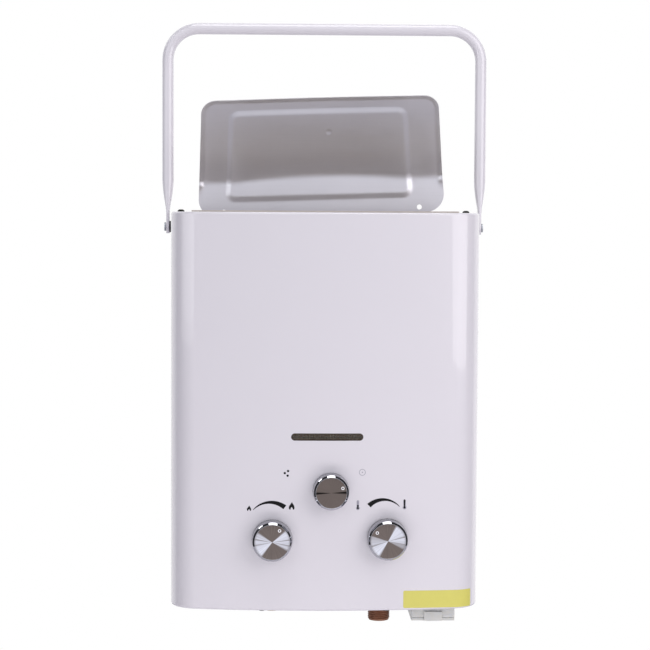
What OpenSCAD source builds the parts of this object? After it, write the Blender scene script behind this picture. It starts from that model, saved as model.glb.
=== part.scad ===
// Portable propane water heater: a wall-hung case with a carrying bail, a fold-down rain hood,
// three knobs, and the burner, heat exchanger, valves and batteries inside.
// Frame: +X to the viewer's right, front faces -Y, +Z up. The wall plane is y = 0 and the
// underside of the case is z = 0, with the origin in the middle of the back's lower edge.

/* [Case] */
// Width of the case
case_w = 289; // [284:1:300]
// Height of the case
case_h = 370; // [360:1:390]
// Depth from the wall to the middle of the front
case_d = 130; // [126:1:140]
// Radius of the front's bow, seen from above
bow_r = 750; // [650:10:1200]
// Radius of the case's upright corners
corner_r = 28; // [22:1:32]
// Sheet thickness of the front cover
cover_t = 1; // [0.8:0.1:1.4]
// Width of the cover's folded rims at top and bottom
rim_w = 13; // [11:1:16]
// Sheet thickness of the back plate and the two end panels
plate_t = 1.2; // [1:0.1:1.6]
// Depth of the back plate's side flanges
flange_d = 12; // [8:1:16]

/* [Wall mounting] */
// Distance between the two upper wall screws
wall_hole_pitch = 100; // [80:2:120]
// Height of the upper wall screws over the case's underside
wall_hole_z = 340; // [330:1:345]
// Radius of the upper wall screw holes
wall_hole_r = 3; // [2.5:0.25:3.5]
// Width of the lower wall lug
lug_w = 46; // [40:1:60]
// Reach of the lower wall lug below the case
lug_h = 14; // [12:1:16]
// Distance between the two lower wall screws
lug_hole_pitch = 24; // [20:1:30]
// Radius of the lower wall screw holes
lug_hole_r = 2.75; // [2.5:0.25:3]

/* [Viewing window] */
// Length of the window slot
window_w = 66.8; // [55:0.2:75]
// Height of the window slot
window_h = 6.8; // [5:0.2:8]
// Sideways place of the window
window_x = 1.7; // [-3:0.1:3]
// Height of the window's middle
window_z = 162.7; // [160:0.1:166]

/* [Knobs] */
// Sideways place of the flame knob
flame_x = -48.8; // [-52:0.1:-46]
// Height of the flame knob
flame_z = 67; // [66:0.1:69]
// Sideways place of the water knob
water_x = 57.9; // [56:0.1:60]
// Height of the water knob
water_z = 68; // [66:0.1:69]
// Sideways place of the season knob
season_x = 5.4; // [2:0.1:8]
// Height of the season knob
season_z = 112.8; // [111:0.1:114]
// Radius of the two large knobs at the base
knob_r = 19; // [17:0.1:20]
// Radius of the season knob at the base
season_r = 17; // [15:0.1:18]
// How much a knob narrows towards its face
knob_taper = 0.8; // [0.4:0.1:1.2]
// Height of a knob
knob_h = 14.5; // [12:0.1:16]
// Gap between a knob and the bowed front
knob_gap = 0.4; // [0.3:0.1:0.8]
// Sheet thickness of a knob's metal cap
cap_t = 0.9; // [0.7:0.1:1.1]
// Radius of a knob's shaft
shaft_r = 3; // [2.5:0.1:3.5]

/* [Handle] */
// Diameter of the handle's tube
tube_d = 11; // [9:0.2:12]
// Wall of the handle's tube
tube_wall = 1.2; // [1:0.1:1.6]
// Height of the handle's top bar over the case
handle_rise = 175; // [165:1:190]
// Radius of the handle's bends, at the tube's middle
handle_bend_r = 30; // [24:1:36]
// Height of the handle's pivot below the top of the case
pivot_drop = 14.5; // [13:0.5:17]
// Distance of the handle's pivot from the wall plane
pivot_back = 40; // [36:1:60]
// Gap between the handle's tube and the case's sides
handle_gap = 0.3; // [0.3:0.1:0.8]
// Thickness of the handle's flattened ends
tab_t = 3.5; // [3:0.1:4]
// Half the width of the handle's flattened ends
tab_r = 6.5; // [6:0.1:7.5]
// Radius of the handle's shoulder screws
pivot_r = 2.5; // [2:0.1:3]

/* [Rain hood] */
// Distance from the hood's lower corners to the sides of the case
hood_side = 22.5; // [20:0.5:26]
// How much narrower the hood is on each side at its top
hood_taper = 7; // [4:0.5:9]
// Height of the hood's bend over the case
hood_bend_z = 33; // [30:0.5:36]
// Length of the hood's upper leaf
hood_leaf = 90; // [84:0.5:92]
// Forward lean of the hood's upper leaf
hood_lean = 32; // [28:1:36]
// Sheet thickness of the hood
hood_t = 0.8; // [0.6:0.1:1]
// Height of the hood's stiffening ridge
ridge_h = 1.4; // [1:0.1:1.8]
// Width of the hood's stiffening ridge
ridge_w = 5.5; // [4.5:0.1:6.5]
// Small turn of the hood in its own plane, from play in its hinge
hood_skew = 1; // [0:0.1:1.2]
// Radius of the two holes at the hood's foot
hood_hole_r = 2.5; // [2:0.1:3]
// Radius of the hood's hinge rod
rod_r = 1.5; // [1.2:0.1:1.6]

/* [Flue] */
// Distance from the flue grille's ends to the sides of the case
grille_side = 19.5; // [17:0.5:24]
// Depth of the flue grille
grille_d = 76; // [70:1:80]
// Number of slots across the grille
grille_slots = 22; // [16:1:24]

/* [Exchanger and burner] */
// Width of the combustion chamber
chamber_w = 172; // [166:1:176]
// Depth of the combustion chamber
chamber_d = 80; // [78:1:84]
// Height of the chamber's lower edge
chamber_z = 150; // [148:1:151]
// Height of the fin block's lower edge
fins_z = 245; // [240:1:250]
// Height of the fin block
fins_h = 40; // [36:1:44]
// Number of fins
fin_count = 27; // [20:1:30]
// Thickness of one fin
fin_t = 0.8; // [0.5:0.1:1]
// Radius of the exchanger's tube
coil_r = 6; // [5:0.1:7]
// Distance between two passes of the exchanger's tube
coil_pitch = 24; // [22:1:26]
// Number of burner blades
blade_count = 8; // [6:1:8]
// Thickness of one burner blade
blade_t = 9; // [7:0.5:10]
// Radius of the water pipes
pipe_r = 6; // [5:0.1:6.5]
// Radius of the gas pipe
gas_pipe_r = 4; // [3.5:0.1:4.5]

/* [Fittings] */
// Radius of the water fittings, a half-inch pipe thread
water_thread_r = 10.45; // [10:0.05:11]
// Radius of the gas fitting
gas_thread_r = 9; // [8:0.1:9.5]
// Sideways place of the water inlet
inlet_x = 53.7; // [52:0.1:56]
// Distance of the water inlet behind the middle of the front
inlet_back = 60; // [58:0.5:62]
// Reach of the water inlet below the case
inlet_drop = 22; // [19:0.5:24]
// Reach of the gas inlet and the water outlet below the case
short_drop = 15; // [13:0.5:17]

/* [Battery box] */
// Left side of the battery box
battery_x = 83; // [82:0.5:86]
// Distance of the battery box's back from the wall plane
battery_back = 26; // [25:0.5:28]
// Reach of the battery box below the case, with its lid
battery_drop = 15.4; // [14:0.1:17]
// Wall of the battery box
battery_wall = 2; // [1.6:0.1:2.4]
// Radius of a D cell
cell_r = 16.6; // [16:0.1:17]
// Height of a D cell with its cap
cell_h = 61.5; // [60:0.1:62]
// Gap between the two cells
cell_gap = 2.8; // [2:0.1:4]
// Room on each side of the cells
cell_room = 1.9; // [1.5:0.1:3]
// Room in front of the cells and behind them
cell_slack = 0.4; // [0.3:0.1:1]

/* [Fits] */
// Radial clearance of a turning or sliding pin
running = 0.05; // [0.02:0.01:0.08]
// Clearance between parts that stand free of each other
clear = 0.3; // [0.2:0.05:0.4]

/* [Hidden] */
$fn = 48;

half_w = case_w / 2;
bow_y = bow_r - case_d;
corner_x = half_w - corner_r;
corner_y = bow_y - sqrt(pow(bow_r - corner_r, 2) - pow(corner_x, 2));
bow_angle = asin(corner_x / (bow_r - corner_r));
panel_inset = cover_t + clear;

handle_x = half_w + handle_gap + tube_d / 2;
handle_top = case_h + handle_rise;
pivot_z = case_h - pivot_drop;
tab_neck_z = case_h;
tube_foot_z = case_h + 21;

rod_back = 5;
rod_z = case_h - 1.5;
trough_back = 17;
trough_z = case_h - 9;
hood_face = 8.4;
hood_foot_z = case_h - 2.4;
bend_z = case_h + hood_bend_z;
hood_tip_z = bend_z + hood_leaf * cos(hood_lean);
hood_w = case_w - 2 * hood_side;
hinge_leaf_w = 32;
hinge_leaf_h = 11.5;
hinge_leaf_x = [-28.5, 27];
ear_w = 2;

grille_w = case_w - 2 * grille_side;
chamber_back = 21;
chamber_y = -chamber_back - chamber_d;
chamber_mid_y = chamber_y + chamber_d / 2;
sheet_t = 1;
fin_w = chamber_w - 2 * sheet_t - 2 * clear;
fin_d = chamber_d - 2 * sheet_t - 2 * clear;
coil_z = fins_z + fins_h / 2;
coil_end_x = chamber_w / 2 + 3;
coil_y = [for (i = [-1:1]) chamber_mid_y + i * coil_pitch];
coil_run_x = coil_end_x + 24;
fins_overlap = 4;
tray_z = chamber_z - 32;
blade_pitch = (chamber_w - 12) / blade_count;
blade_x = [for (i = [0:blade_count - 1]) (i - (blade_count - 1) / 2) * blade_pitch];
blade_top = chamber_z + 2;
manifold_y = chamber_y - 2;
manifold_z = tray_z + 10;
manifold_s = 10;

valve_front_y = -case_d + 30;
boss_len = 8;
valve_mid_y = valve_front_y + 22;
gas_box = [flame_x - 24, flame_x + 34, flame_z - 19, flame_z + 21];
gas_box_d = 44;
season_front_y = valve_front_y - 18;
season_box = [season_x - 32, season_x + 16, season_z - 11.5, season_z + 6];
season_box_d = 16;
water_box = [water_x - 14, water_x + 15, water_z - 18, water_z + 22];
housing_r = 24;
housing_t = 8;
diaphragm_t = 1.6;
diaphragm_x = water_box[0] - housing_t - diaphragm_t;
rod_stroke = 3;
push_rod_r = 2;
collar_x = season_x + 2;
link_x = season_box[0] + 8;
outlet_x = -coil_run_x;
outlet_y = coil_y[2];
inlet_y = inlet_back - case_d;
gas_in_x = flame_x;
gas_in_y = valve_mid_y;
drain_x = water_x + 6;
drain_y = valve_front_y + 7;
drain_r = 5.5;
nut_h = 5;
valve_riser_x = water_box[1] - pipe_r - 1;
riser_turn_z = water_box[3] + 14;

battery_w = 2 * (battery_wall + cell_room + cell_r);
battery_d = 2 * (battery_wall + cell_slack) + 4 * cell_r + cell_gap;
battery_floor = -battery_drop + 2.8;
battery_top = battery_floor + cell_h + 5.6;
battery_front_y = -battery_back - battery_d;
cell_x = battery_x + battery_w / 2;
cell_y = [for (s = [-1, 1]) battery_front_y + battery_d / 2 + s * (cell_r + cell_gap / 2)];
lid_pin_r = 1.25;
lid_axis_y = -battery_back + 3;
lid_axis_z = battery_floor + 1.1;
lid_ear_w = 4;

white = [0.91, 0.90, 0.93];
steel = [0.72, 0.72, 0.74];
zinc = [0.62, 0.63, 0.65];
black = [0.09, 0.09, 0.09];
copper = [0.72, 0.42, 0.28];
brass = [0.75, 0.62, 0.33];
milky = [0.86, 0.87, 0.86];
knob_metal = [0.55, 0.53, 0.52];

// ---- Shared shapes -------------------------------------------------------------------------

// Points of an arc about a centre, from one angle to another.
function arc(centre, r, from, to, steps) =
    [for (i = [0:steps]) let (a = from + (to - from) * i / steps) centre + r * [cos(a), sin(a)]];

function unit(v) = v / norm(v);

// Points of the round corner at b, between a and c.
function corner_arc(a, b, c, r, steps) =
    let (
        u = unit(a - b),
        v = unit(c - b),
        half = acos(u * v) / 2,
        centre = b + unit(u + v) * r / sin(half),
        s = b + u * r / tan(half) - centre,
        e = b + v * r / tan(half) - centre,
        from = atan2(s.y, s.x),
        sweep = (atan2(e.y, e.x) - from + 540) % 360 - 180
    )
    arc(centre, r, from, from + sweep, steps);

// A polygon's points with each corner rounded to its own radius.
function rounded(pts, radii, steps = 8) =
    let (n = len(pts))
    [for (i = [0:n - 1]) each corner_arc(pts[(i + n - 1) % n], pts[i], pts[(i + 1) % n], radii[i], steps)];

// The case's outline from above, drawn in by an inset: bowed front, round corners, straight sides.
function plan(inset, back) = concat(
    [[half_w - inset, back]],
    arc([corner_x, corner_y], corner_r - inset, 0, bow_angle - 90, 10),
    [for (i = [1:23]) let (t = bow_angle * (1 - i / 12)) [0, bow_y] + (bow_r - inset) * [sin(t), -cos(t)]],
    arc([-corner_x, corner_y], corner_r - inset, -90 - bow_angle, -180, 10),
    [[-half_w + inset, back]]
);

// How far the bowed front lies from the wall plane at a sideways place.
function front_y(x) = bow_y - sqrt(bow_r * bow_r - x * x);

// A sheet of the case's own outline, lying flat.
module plan_sheet(z, t, inset, back) {
    translate([0, 0, z]) linear_extrude(t) polygon(plan(inset, back));
}

// A flat outline in X and Z, given thickness from y towards the front.
module along_y(y, t) {
    translate([0, y, 0]) rotate([90, 0, 0]) linear_extrude(t) children();
}

// A flat outline in Y and Z, given thickness from x to the right.
module along_x(x, t) {
    translate([x, 0, 0]) rotate([90, 0, 90]) linear_extrude(t) children();
}

// A round bar along X.
module bar_x(x, y, z, r, l) {
    translate([x, y, z]) rotate([0, 90, 0]) cylinder(h = l, r = r);
}

// A round bar along Y, towards the front.
module bar_y(x, y, z, r, l) {
    translate([x, y, z]) rotate([90, 0, 0]) cylinder(h = l, r = r);
}

// A round bar along Z.
module bar_z(x, y, z, r, l) {
    translate([x, y, z]) cylinder(h = l, r = r);
}

// A box given by its two ends along each axis.
module box(x, y, z) {
    translate([x[0], y[0], z[0]]) cube([x[1] - x[0], y[1] - y[0], z[1] - z[0]]);
}

// A pipe through the given points, with a slightly thicker elbow at each turn.
module pipe(points, r) {
    for (i = [0:len(points) - 2])
        let (d = points[i + 1] - points[i])
            translate(points[i])
                rotate([0, acos(d.z / norm(d)), atan2(d.y, d.x)])
                    cylinder(h = norm(d), r = r);
    for (i = [1:1:len(points) - 2])
        translate(points[i]) sphere(r = r * 1.08);
}

// A slot outline with round ends.
module slot(x, z, w, h) {
    translate([x, z]) {
        square([w - h, h], center = true);
        for (s = [-1, 1]) translate([s * (w - h) / 2, 0]) circle(r = h / 2);
    }
}

// A box shell with walls and no top or bottom.
module sleeve(w, y, d, z, h, t) {
    translate([0, y + d / 2, z]) linear_extrude(h) difference() {
        square([w, d], center = true);
        square([w - 2 * t, d - 2 * t], center = true);
    }
}

// ---- Case ----------------------------------------------------------------------------------

module front_cover() {
    color(white) difference() {
        union() {
            difference() {
                plan_sheet(0, case_h, 0, -plate_t);
                plan_sheet(-1, case_h + 2, cover_t, 1);
            }
            for (z = [0, case_h - cover_t]) difference() {
                plan_sheet(z, cover_t, cover_t / 2, -plate_t);
                plan_sheet(z - 1, cover_t + 2, rim_w, 1);
            }
        }
        along_y(-case_d + 20, 30) slot(window_x, window_z, window_w, window_h);
        for (k = [[flame_x, flame_z], [water_x, water_z], [season_x, season_z]])
            bar_y(k.x, -case_d + 20, k.y, shaft_r + 1.5, 30);
        for (s = [-1, 1]) bar_x(s * half_w - 3, -pivot_back, pivot_z, pivot_r + running, 6);
        cover_screw_places() translate([0, 0, -5]) cylinder(h = 10, r = screw_r + clear / 2);
        battery_cutout();
    }
}

// The room that the case's underside leaves for the battery box.
module battery_cutout() {
    box([battery_x - clear, battery_x + battery_w + clear], [battery_front_y - clear, -battery_back + clear], [-1, 6]);
}

screw_r = 1.5;
screw_head_r = 3.4;
screw_x = half_w - 6.3;
top_screw_y = -pivot_back + 9;
back_screw_y = -20;
front_screw_x = corner_x / 2;
front_screw_y = front_y(front_screw_x) + rim_w / 2;

// Where the screws hold the cover: two in the upper rim, four in the lower one.
module cover_screw_places() {
    for (s = [-1, 1]) {
        translate([s * screw_x, top_screw_y, case_h]) children();
        for (p = [[screw_x, back_screw_y], [front_screw_x, front_screw_y]])
            translate([s * p.x, p.y, 0]) mirror([0, 0, 1]) children();
    }
}

module cover_screws() {
    color(black) cover_screw_places() {
        translate([0, 0, -6]) cylinder(h = 6, r = screw_r);
        rotate_extrude() intersection() {
            translate([0, -1.4]) circle(r = 3.7);
            square([screw_head_r, 2.3]);
        }
    }
}

module back_plate() {
    color(white) difference() {
        union() {
            box([-half_w, half_w], [-plate_t, 0], [0, case_h]);
            for (s = [-1, 1])
                box(
                    s > 0 ? [half_w - cover_t - plate_t, half_w - cover_t] : [-half_w + cover_t, -half_w + cover_t + plate_t],
                    [-plate_t - flange_d, -plate_t],
                    [3 * plate_t, trough_z - clear]
                );
            box([-lug_w / 2, lug_w / 2], [-plate_t, 0], [-lug_h, 1]);
        }
        for (s = [-1, 1]) {
            bar_y(s * wall_hole_pitch / 2, 1, wall_hole_z, wall_hole_r, plate_t + 2);
            bar_y(s * lug_hole_pitch / 2, 1, -lug_h / 2, lug_hole_r, plate_t + 2);
        }
    }
}

flue_w = grille_w - 24;
flue_d = grille_d - 16;
grille_mid_y = chamber_mid_y;

module top_panel() {
    color(white) difference() {
        union() {
            plan_sheet(case_h - cover_t - plate_t, plate_t, panel_inset, -trough_back);
            box(
                [-half_w + panel_inset, half_w - panel_inset],
                [-trough_back - plate_t, -trough_back],
                [trough_z, case_h - cover_t - plate_t / 2]
            );
            box([-half_w + panel_inset, half_w - panel_inset], [-trough_back - plate_t, -plate_t], [trough_z, trough_z + plate_t]);
        }
        box([-flue_w / 2, flue_w / 2], [grille_mid_y - flue_d / 2, grille_mid_y + flue_d / 2], [case_h - 9, case_h + 1]);
        cover_screw_places() translate([0, 0, -8]) cylinder(h = 9, r = screw_r + clear / 2);
    }
}

module bottom_panel() {
    color(zinc) difference() {
        plan_sheet(cover_t, plate_t, panel_inset, -plate_t);
        translate([0, 0, -1]) {
            bar_z(inlet_x, inlet_y, 0, water_thread_r + clear, 6);
            bar_z(outlet_x, outlet_y, 0, water_thread_r + clear, 6);
            bar_z(gas_in_x, gas_in_y, 0, gas_thread_r + clear, 6);
            bar_z(drain_x, drain_y, 0, drain_r + clear, 6);
        }
        battery_cutout();
        cover_screw_places() translate([0, 0, -8]) cylinder(h = 9, r = screw_r + clear / 2);
    }
}

slot_pitch = (grille_w - 20) / grille_slots;
slot_w = slot_pitch * 0.5;

module flue_grille() {
    color(black) {
        difference() {
            box([-grille_w / 2, grille_w / 2], [grille_mid_y - grille_d / 2, grille_mid_y + grille_d / 2], [case_h - cover_t, case_h + 0.4]);
            for (i = [0:grille_slots - 1], s = [-1, 1])
                translate([(i - (grille_slots - 1) / 2) * slot_pitch, grille_mid_y + s * grille_d / 4, case_h - 3])
                    translate([-slot_w / 2, -grille_d / 4 + 6, 0])
                        cube([slot_w, grille_d / 2 - 12, 6]);
        }
        for (s = [-1, 1])
            translate([-grille_w / 2, grille_mid_y + s * (grille_d / 2 - 1) - 1, case_h])
                cube([grille_w, 2, 1.4]);
    }
}

mesh_y = -case_d + cover_t + 1.2;

module window_mesh() {
    mesh_pitch = 3;
    mesh_n = floor((window_w - 2) / mesh_pitch);
    color(zinc) difference() {
        along_y(mesh_y + 0.6, 0.6) slot(window_x, window_z, window_w + 6, window_h + 6);
        for (i = [0:mesh_n - 1], j = [-1, 1])
            bar_y(window_x + (i - (mesh_n - 1) / 2) * mesh_pitch, mesh_y + 2, window_z + j * mesh_pitch / 2, 1, 4);
    }
}

module window_glass() {
    color([0.75, 0.72, 0.62]) along_y(mesh_y + 1.8, 1.2) slot(window_x, window_z, window_w + 6, window_h + 6);
}

// ---- Handle --------------------------------------------------------------------------------

// One leg's foot: the round tube pressed flat, with the pivot's eye.
module handle_foot() {
    difference() {
        union() {
            hull() {
                translate([0, 0, tube_foot_z - 0.5]) cylinder(h = 0.5, r = tube_d / 2, $fn = 32);
                translate([-tab_t / 2, -tab_r, tab_neck_z]) cube([tab_t, 2 * tab_r, 0.5]);
            }
            translate([-tab_t / 2, -tab_r, pivot_z]) cube([tab_t, 2 * tab_r, tab_neck_z - pivot_z + 0.2]);
            translate([-tab_t / 2, 0, pivot_z]) rotate([0, 90, 0]) cylinder(h = tab_t, r = tab_r);
        }
        translate([-tab_t, 0, pivot_z]) rotate([0, 90, 0]) cylinder(h = 2 * tab_t, r = pivot_r + running);
    }
}

// The tube's ring section, set out from the bend's centre.
module tube_ring() {
    difference() {
        circle(r = tube_d / 2);
        circle(r = tube_d / 2 - tube_wall);
    }
}

module handle() {
    leg_h = handle_top - handle_bend_r - tube_foot_z;
    bar_l = 2 * (handle_x - handle_bend_r);
    color(white) translate([0, -pivot_back, 0]) {
        for (s = [-1, 1]) {
            translate([s * handle_x, 0, 0]) handle_foot();
            translate([s * handle_x, 0, tube_foot_z]) linear_extrude(leg_h) tube_ring();
            translate([s * (handle_x - handle_bend_r), 0, handle_top - handle_bend_r])
                rotate([90, 0, 0])
                    rotate([0, 0, s > 0 ? 0 : 90])
                        rotate_extrude(angle = 90) translate([handle_bend_r, 0]) tube_ring();
        }
        translate([-bar_l / 2, 0, handle_top]) rotate([0, 90, 0]) linear_extrude(bar_l) tube_ring();
    }
}

tab_inner = handle_x - tab_t / 2;
tab_outer = handle_x + tab_t / 2;
pivot_nut_t = 4;

// Repeats what is drawn for the right side on the left side too.
module both_sides() {
    children();
    mirror([1, 0, 0]) children();
}

module handle_screws() {
    color(zinc) both_sides() {
        bar_x(half_w - cover_t - pivot_nut_t - 1, -pivot_back, pivot_z, pivot_r, tab_outer + clear - half_w + cover_t + pivot_nut_t + 1);
        bar_x(tab_outer + clear / 3, -pivot_back, pivot_z, pivot_r + 1.7, 1.6);
    }
}

module handle_bushes() {
    color(black) both_sides() difference() {
        bar_x(half_w, -pivot_back, pivot_z, pivot_r + 3, tab_inner - clear / 3 - half_w);
        bar_x(half_w - 1, -pivot_back, pivot_z, pivot_r + running, tab_t + tube_d);
    }
}

module handle_nuts() {
    color(zinc) both_sides() difference() {
        translate([half_w - cover_t - pivot_nut_t, -pivot_back, pivot_z])
            rotate([0, 90, 0]) cylinder(h = pivot_nut_t, r = pivot_r + 2, $fn = 6);
        bar_x(half_w - cover_t - pivot_nut_t - 1, -pivot_back, pivot_z, pivot_r + running, pivot_nut_t + 2);
    }
}

// ---- Rain hood -----------------------------------------------------------------------------

// The hood's side profile between two distances in front of its back face.
module hood_profile(from, to) {
    turn = tan(hood_lean / 2);
    base = -hood_face + hood_t;
    lean = [-sin(hood_lean), cos(hood_lean)];
    out = [-cos(hood_lean), -sin(hood_lean)];
    inner_bend = [base - from, bend_z - from * turn];
    outer_bend = [base - to, bend_z - to * turn];
    tip = [base, bend_z] + hood_leaf * lean;
    polygon([
        [base - from, hood_foot_z],
        inner_bend,
        tip + from * out,
        tip + to * out,
        outer_bend,
        [base - to, hood_foot_z]
    ]);
}

// The hood's outline from the front, drawn in by an inset.
module hood_outline(inset) {
    low = hood_foot_z + inset;
    high = hood_tip_z + hood_t - inset;
    polygon(rounded(
        [
            [-hood_w / 2 + inset, low],
            [hood_w / 2 - inset, low],
            [hood_w / 2 - hood_taper - inset, high],
            [-hood_w / 2 + hood_taper + inset, high]
        ],
        [max(19 - inset * 0.4, 8), max(19 - inset * 0.4, 8), max(14 - inset * 0.2, 8), max(14 - inset * 0.2, 8)]
    ));
}

ridge_inset = 30;
ridge_top_inset = 10;

// The outline of the hood's stiffening ridge, drawn in by an inset.
module ridge_outline(inset) {
    side = hood_w / 2 - ridge_inset - inset;
    top_side = side - hood_taper * 0.6;
    polygon(rounded(
        [
            [-side, case_h + 12 + inset],
            [side, case_h + 12 + inset],
            [top_side, hood_tip_z - ridge_top_inset - inset],
            [-top_side, hood_tip_z - ridge_top_inset - inset]
        ],
        [10, 10, 10, 10]
    ));
}

// Turns the hood a little in its own plane, about the middle of its hinge.
module skewed() {
    translate([0, 0, rod_z]) rotate([0, -hood_skew, 0]) translate([0, 0, -rod_z]) children();
}

module hood() {
    hole_x = hood_w / 2 - 26;
    hole_z = case_h + 3.6;
    color(steel) skewed() {
        difference() {
            intersection() {
                along_x(-hood_w / 2, hood_w) hood_profile(0, hood_t);
                along_y(0, case_d) hood_outline(0);
            }
            for (s = [-1, 1]) bar_y(s * hole_x, 0, hole_z, hood_hole_r, 2 * hood_face);
        }
        intersection() {
            along_x(-hood_w / 2, hood_w) hood_profile(hood_t / 2, hood_t + ridge_h);
            along_y(0, case_d) difference() {
                ridge_outline(0);
                ridge_outline(ridge_w);
            }
        }
    }
}

module hood_hinge_leaves() {
    knuckle_r = rod_r + running + hood_t;
    low = rod_z - knuckle_r - 0.4;
    color(steel) for (x = hinge_leaf_x) {
        along_y(-hood_face - clear / 3, hood_t)
            polygon(rounded(
                [
                    [x - hinge_leaf_w / 2, low],
                    [x + hinge_leaf_w / 2, low],
                    [x + hinge_leaf_w / 2, low + hinge_leaf_h],
                    [x - hinge_leaf_w / 2, low + hinge_leaf_h]
                ],
                [0.1, 0.1, 5, 5]
            ));
        difference() {
            union() {
                box(
                    [x - hinge_leaf_w / 2, x + hinge_leaf_w / 2],
                    [-hood_face - clear / 3 - hood_t / 2, -rod_back],
                    [low, low + hood_t]
                );
                bar_x(x - hinge_leaf_w / 2, -rod_back, rod_z, knuckle_r, hinge_leaf_w);
            }
            bar_x(x - hinge_leaf_w / 2 - 1, -rod_back, rod_z, rod_r + running, hinge_leaf_w + 2);
        }
    }
}

ear_x = [for (x = hinge_leaf_x, s = [-1, 1]) x + s * (hinge_leaf_w / 2 + clear + ear_w / 2) - ear_w / 2];

module hood_hinge_ears() {
    ear_r = rod_r + running + 0.75;
    color(steel) for (x = ear_x) difference() {
        union() {
            bar_x(x, -rod_back, rod_z, ear_r, ear_w);
            box([x, x + ear_w], [-rod_back, -plate_t], [rod_z - ear_r, rod_z + ear_r]);
            box([x, x + ear_w], [-rod_back + ear_r + 0.9, -plate_t], [trough_z + plate_t, rod_z]);
        }
        bar_x(x - 1, -rod_back, rod_z, rod_r + running, ear_w + 2);
    }
}

module hood_hinge_rod() {
    color(zinc) bar_x(min(ear_x) - 2, -rod_back, rod_z, rod_r, max(ear_x) + ear_w - min(ear_x) + 4);
}

// ---- Knobs ---------------------------------------------------------------------------------

// Where a knob's base stands: just in front of the bow at the knob's inner edge.
function knob_y(x, r) = front_y(max(abs(x) - r, 0)) - knob_gap;

module at_knob(x, z, r) {
    translate([x, knob_y(x, r), z]) rotate([90, 0, 0]) children();
}

// A knob's plastic core: a disc under the cap, a hub for the shaft and ribs between them.
module knob_core(r) {
    disc_r = r - knob_taper - cap_t - 0.4;
    top = knob_h - cap_t;
    difference() {
        union() {
            translate([0, 0, top - 3]) cylinder(h = 3, r = disc_r);
            cylinder(h = top, r = shaft_r + 3);
            for (a = [0:60:120]) rotate(a) translate([-disc_r + 0.6, -0.8, 3]) cube([2 * disc_r - 1.2, 1.6, top - 4]);
        }
        translate([0, 0, -1]) cylinder(h = top - 2.5, r = shaft_r + running);
    }
}

// A knob's spun metal cap: a tapered cup with a bevelled rim and a slightly sunken face.
module knob_cap(r) {
    face_r = r - knob_taper;
    rotate_extrude() polygon([
        [0, knob_h - cap_t],
        [0, knob_h - 0.25],
        [face_r - 2.4, knob_h - 0.25],
        [face_r - 2, knob_h],
        [face_r - 1, knob_h],
        [face_r, knob_h - 1],
        [r, 0],
        [r - cap_t, 0],
        [face_r - cap_t, knob_h - cap_t]
    ]);
}

// A knob's shaft: round, with a flat where the knob grips it.
module knob_shaft(x, r, end_y) {
    top = knob_h - cap_t - 4;
    reach = end_y - knob_y(x, r);
    difference() {
        translate([0, 0, -reach]) cylinder(h = reach + top, r = shaft_r);
        translate([-shaft_r, shaft_r - 0.6, 2]) cube([2 * shaft_r, shaft_r, top]);
    }
}

shaft_depth = 6;

module flame_knob() {
    color(black) at_knob(flame_x, flame_z, knob_r) knob_core(knob_r);
}

module flame_knob_cap() {
    color(knob_metal) at_knob(flame_x, flame_z, knob_r) knob_cap(knob_r);
}

module flame_shaft() {
    color(brass) at_knob(flame_x, flame_z, knob_r) knob_shaft(flame_x, knob_r, valve_front_y + shaft_depth);
}

module season_knob() {
    color(black) at_knob(season_x, season_z, season_r) knob_core(season_r);
}

module season_knob_cap() {
    color(knob_metal) at_knob(season_x, season_z, season_r) knob_cap(season_r);
}

module season_shaft() {
    color(brass) at_knob(season_x, season_z, season_r)
        knob_shaft(season_x, season_r, season_front_y + shaft_depth);
}

module water_knob() {
    color(black) at_knob(water_x, water_z, knob_r) knob_core(knob_r);
}

module water_knob_cap() {
    color(knob_metal) at_knob(water_x, water_z, knob_r) knob_cap(knob_r);
}

module water_shaft() {
    color(brass) at_knob(water_x, water_z, knob_r) knob_shaft(water_x, knob_r, valve_front_y + shaft_depth);
}

// ---- Gas side ------------------------------------------------------------------------------

// The blind seat that a knob's shaft turns in.
module shaft_seat(x, z, y) {
    bar_y(x, y + shaft_depth + clear, z, shaft_r + running, shaft_depth + boss_len + 2);
}

module gas_valve_body() {
    color(zinc) difference() {
        union() {
            box([gas_box[0], gas_box[1]], [valve_front_y, valve_front_y + gas_box_d], [gas_box[2], gas_box[3]]);
            bar_y(flame_x, valve_front_y, flame_z, shaft_r + 5, boss_len);
            bar_x(gas_box[1], valve_mid_y, flame_z, 9, 5);
        }
        shaft_seat(flame_x, flame_z, valve_front_y);
        bar_x(gas_box[1] - 12, valve_mid_y, flame_z, push_rod_r + running, 20);
    }
}

module gas_solenoid() {
    color(steel) {
        bar_x(gas_box[0] - 26, valve_mid_y, flame_z, 11, 26);
        box([gas_box[0] - 4, gas_box[0]], [valve_mid_y - 14, valve_mid_y + 14], [flame_z - 14, flame_z + 14]);
    }
}

module season_valve_body() {
    color(zinc) difference() {
        union() {
            box([season_box[0], season_box[1]], [season_front_y, season_front_y + season_box_d], [season_box[2], season_box[3]]);
            bar_y(season_x, season_front_y, season_z, shaft_r + 3, 4);
        }
        shaft_seat(season_x, season_z, season_front_y);
    }
}

module gas_link_pipe() {
    turn_z = (gas_box[3] + season_box[2]) / 2;
    season_y = season_front_y + season_box_d / 2;
    gas_y = valve_front_y + 10;
    color(copper) pipe(
        [[link_x, gas_y, gas_box[3]], [link_x, gas_y, turn_z], [link_x, season_y, turn_z], [link_x, season_y, season_box[2]]],
        gas_pipe_r
    );
}

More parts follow.
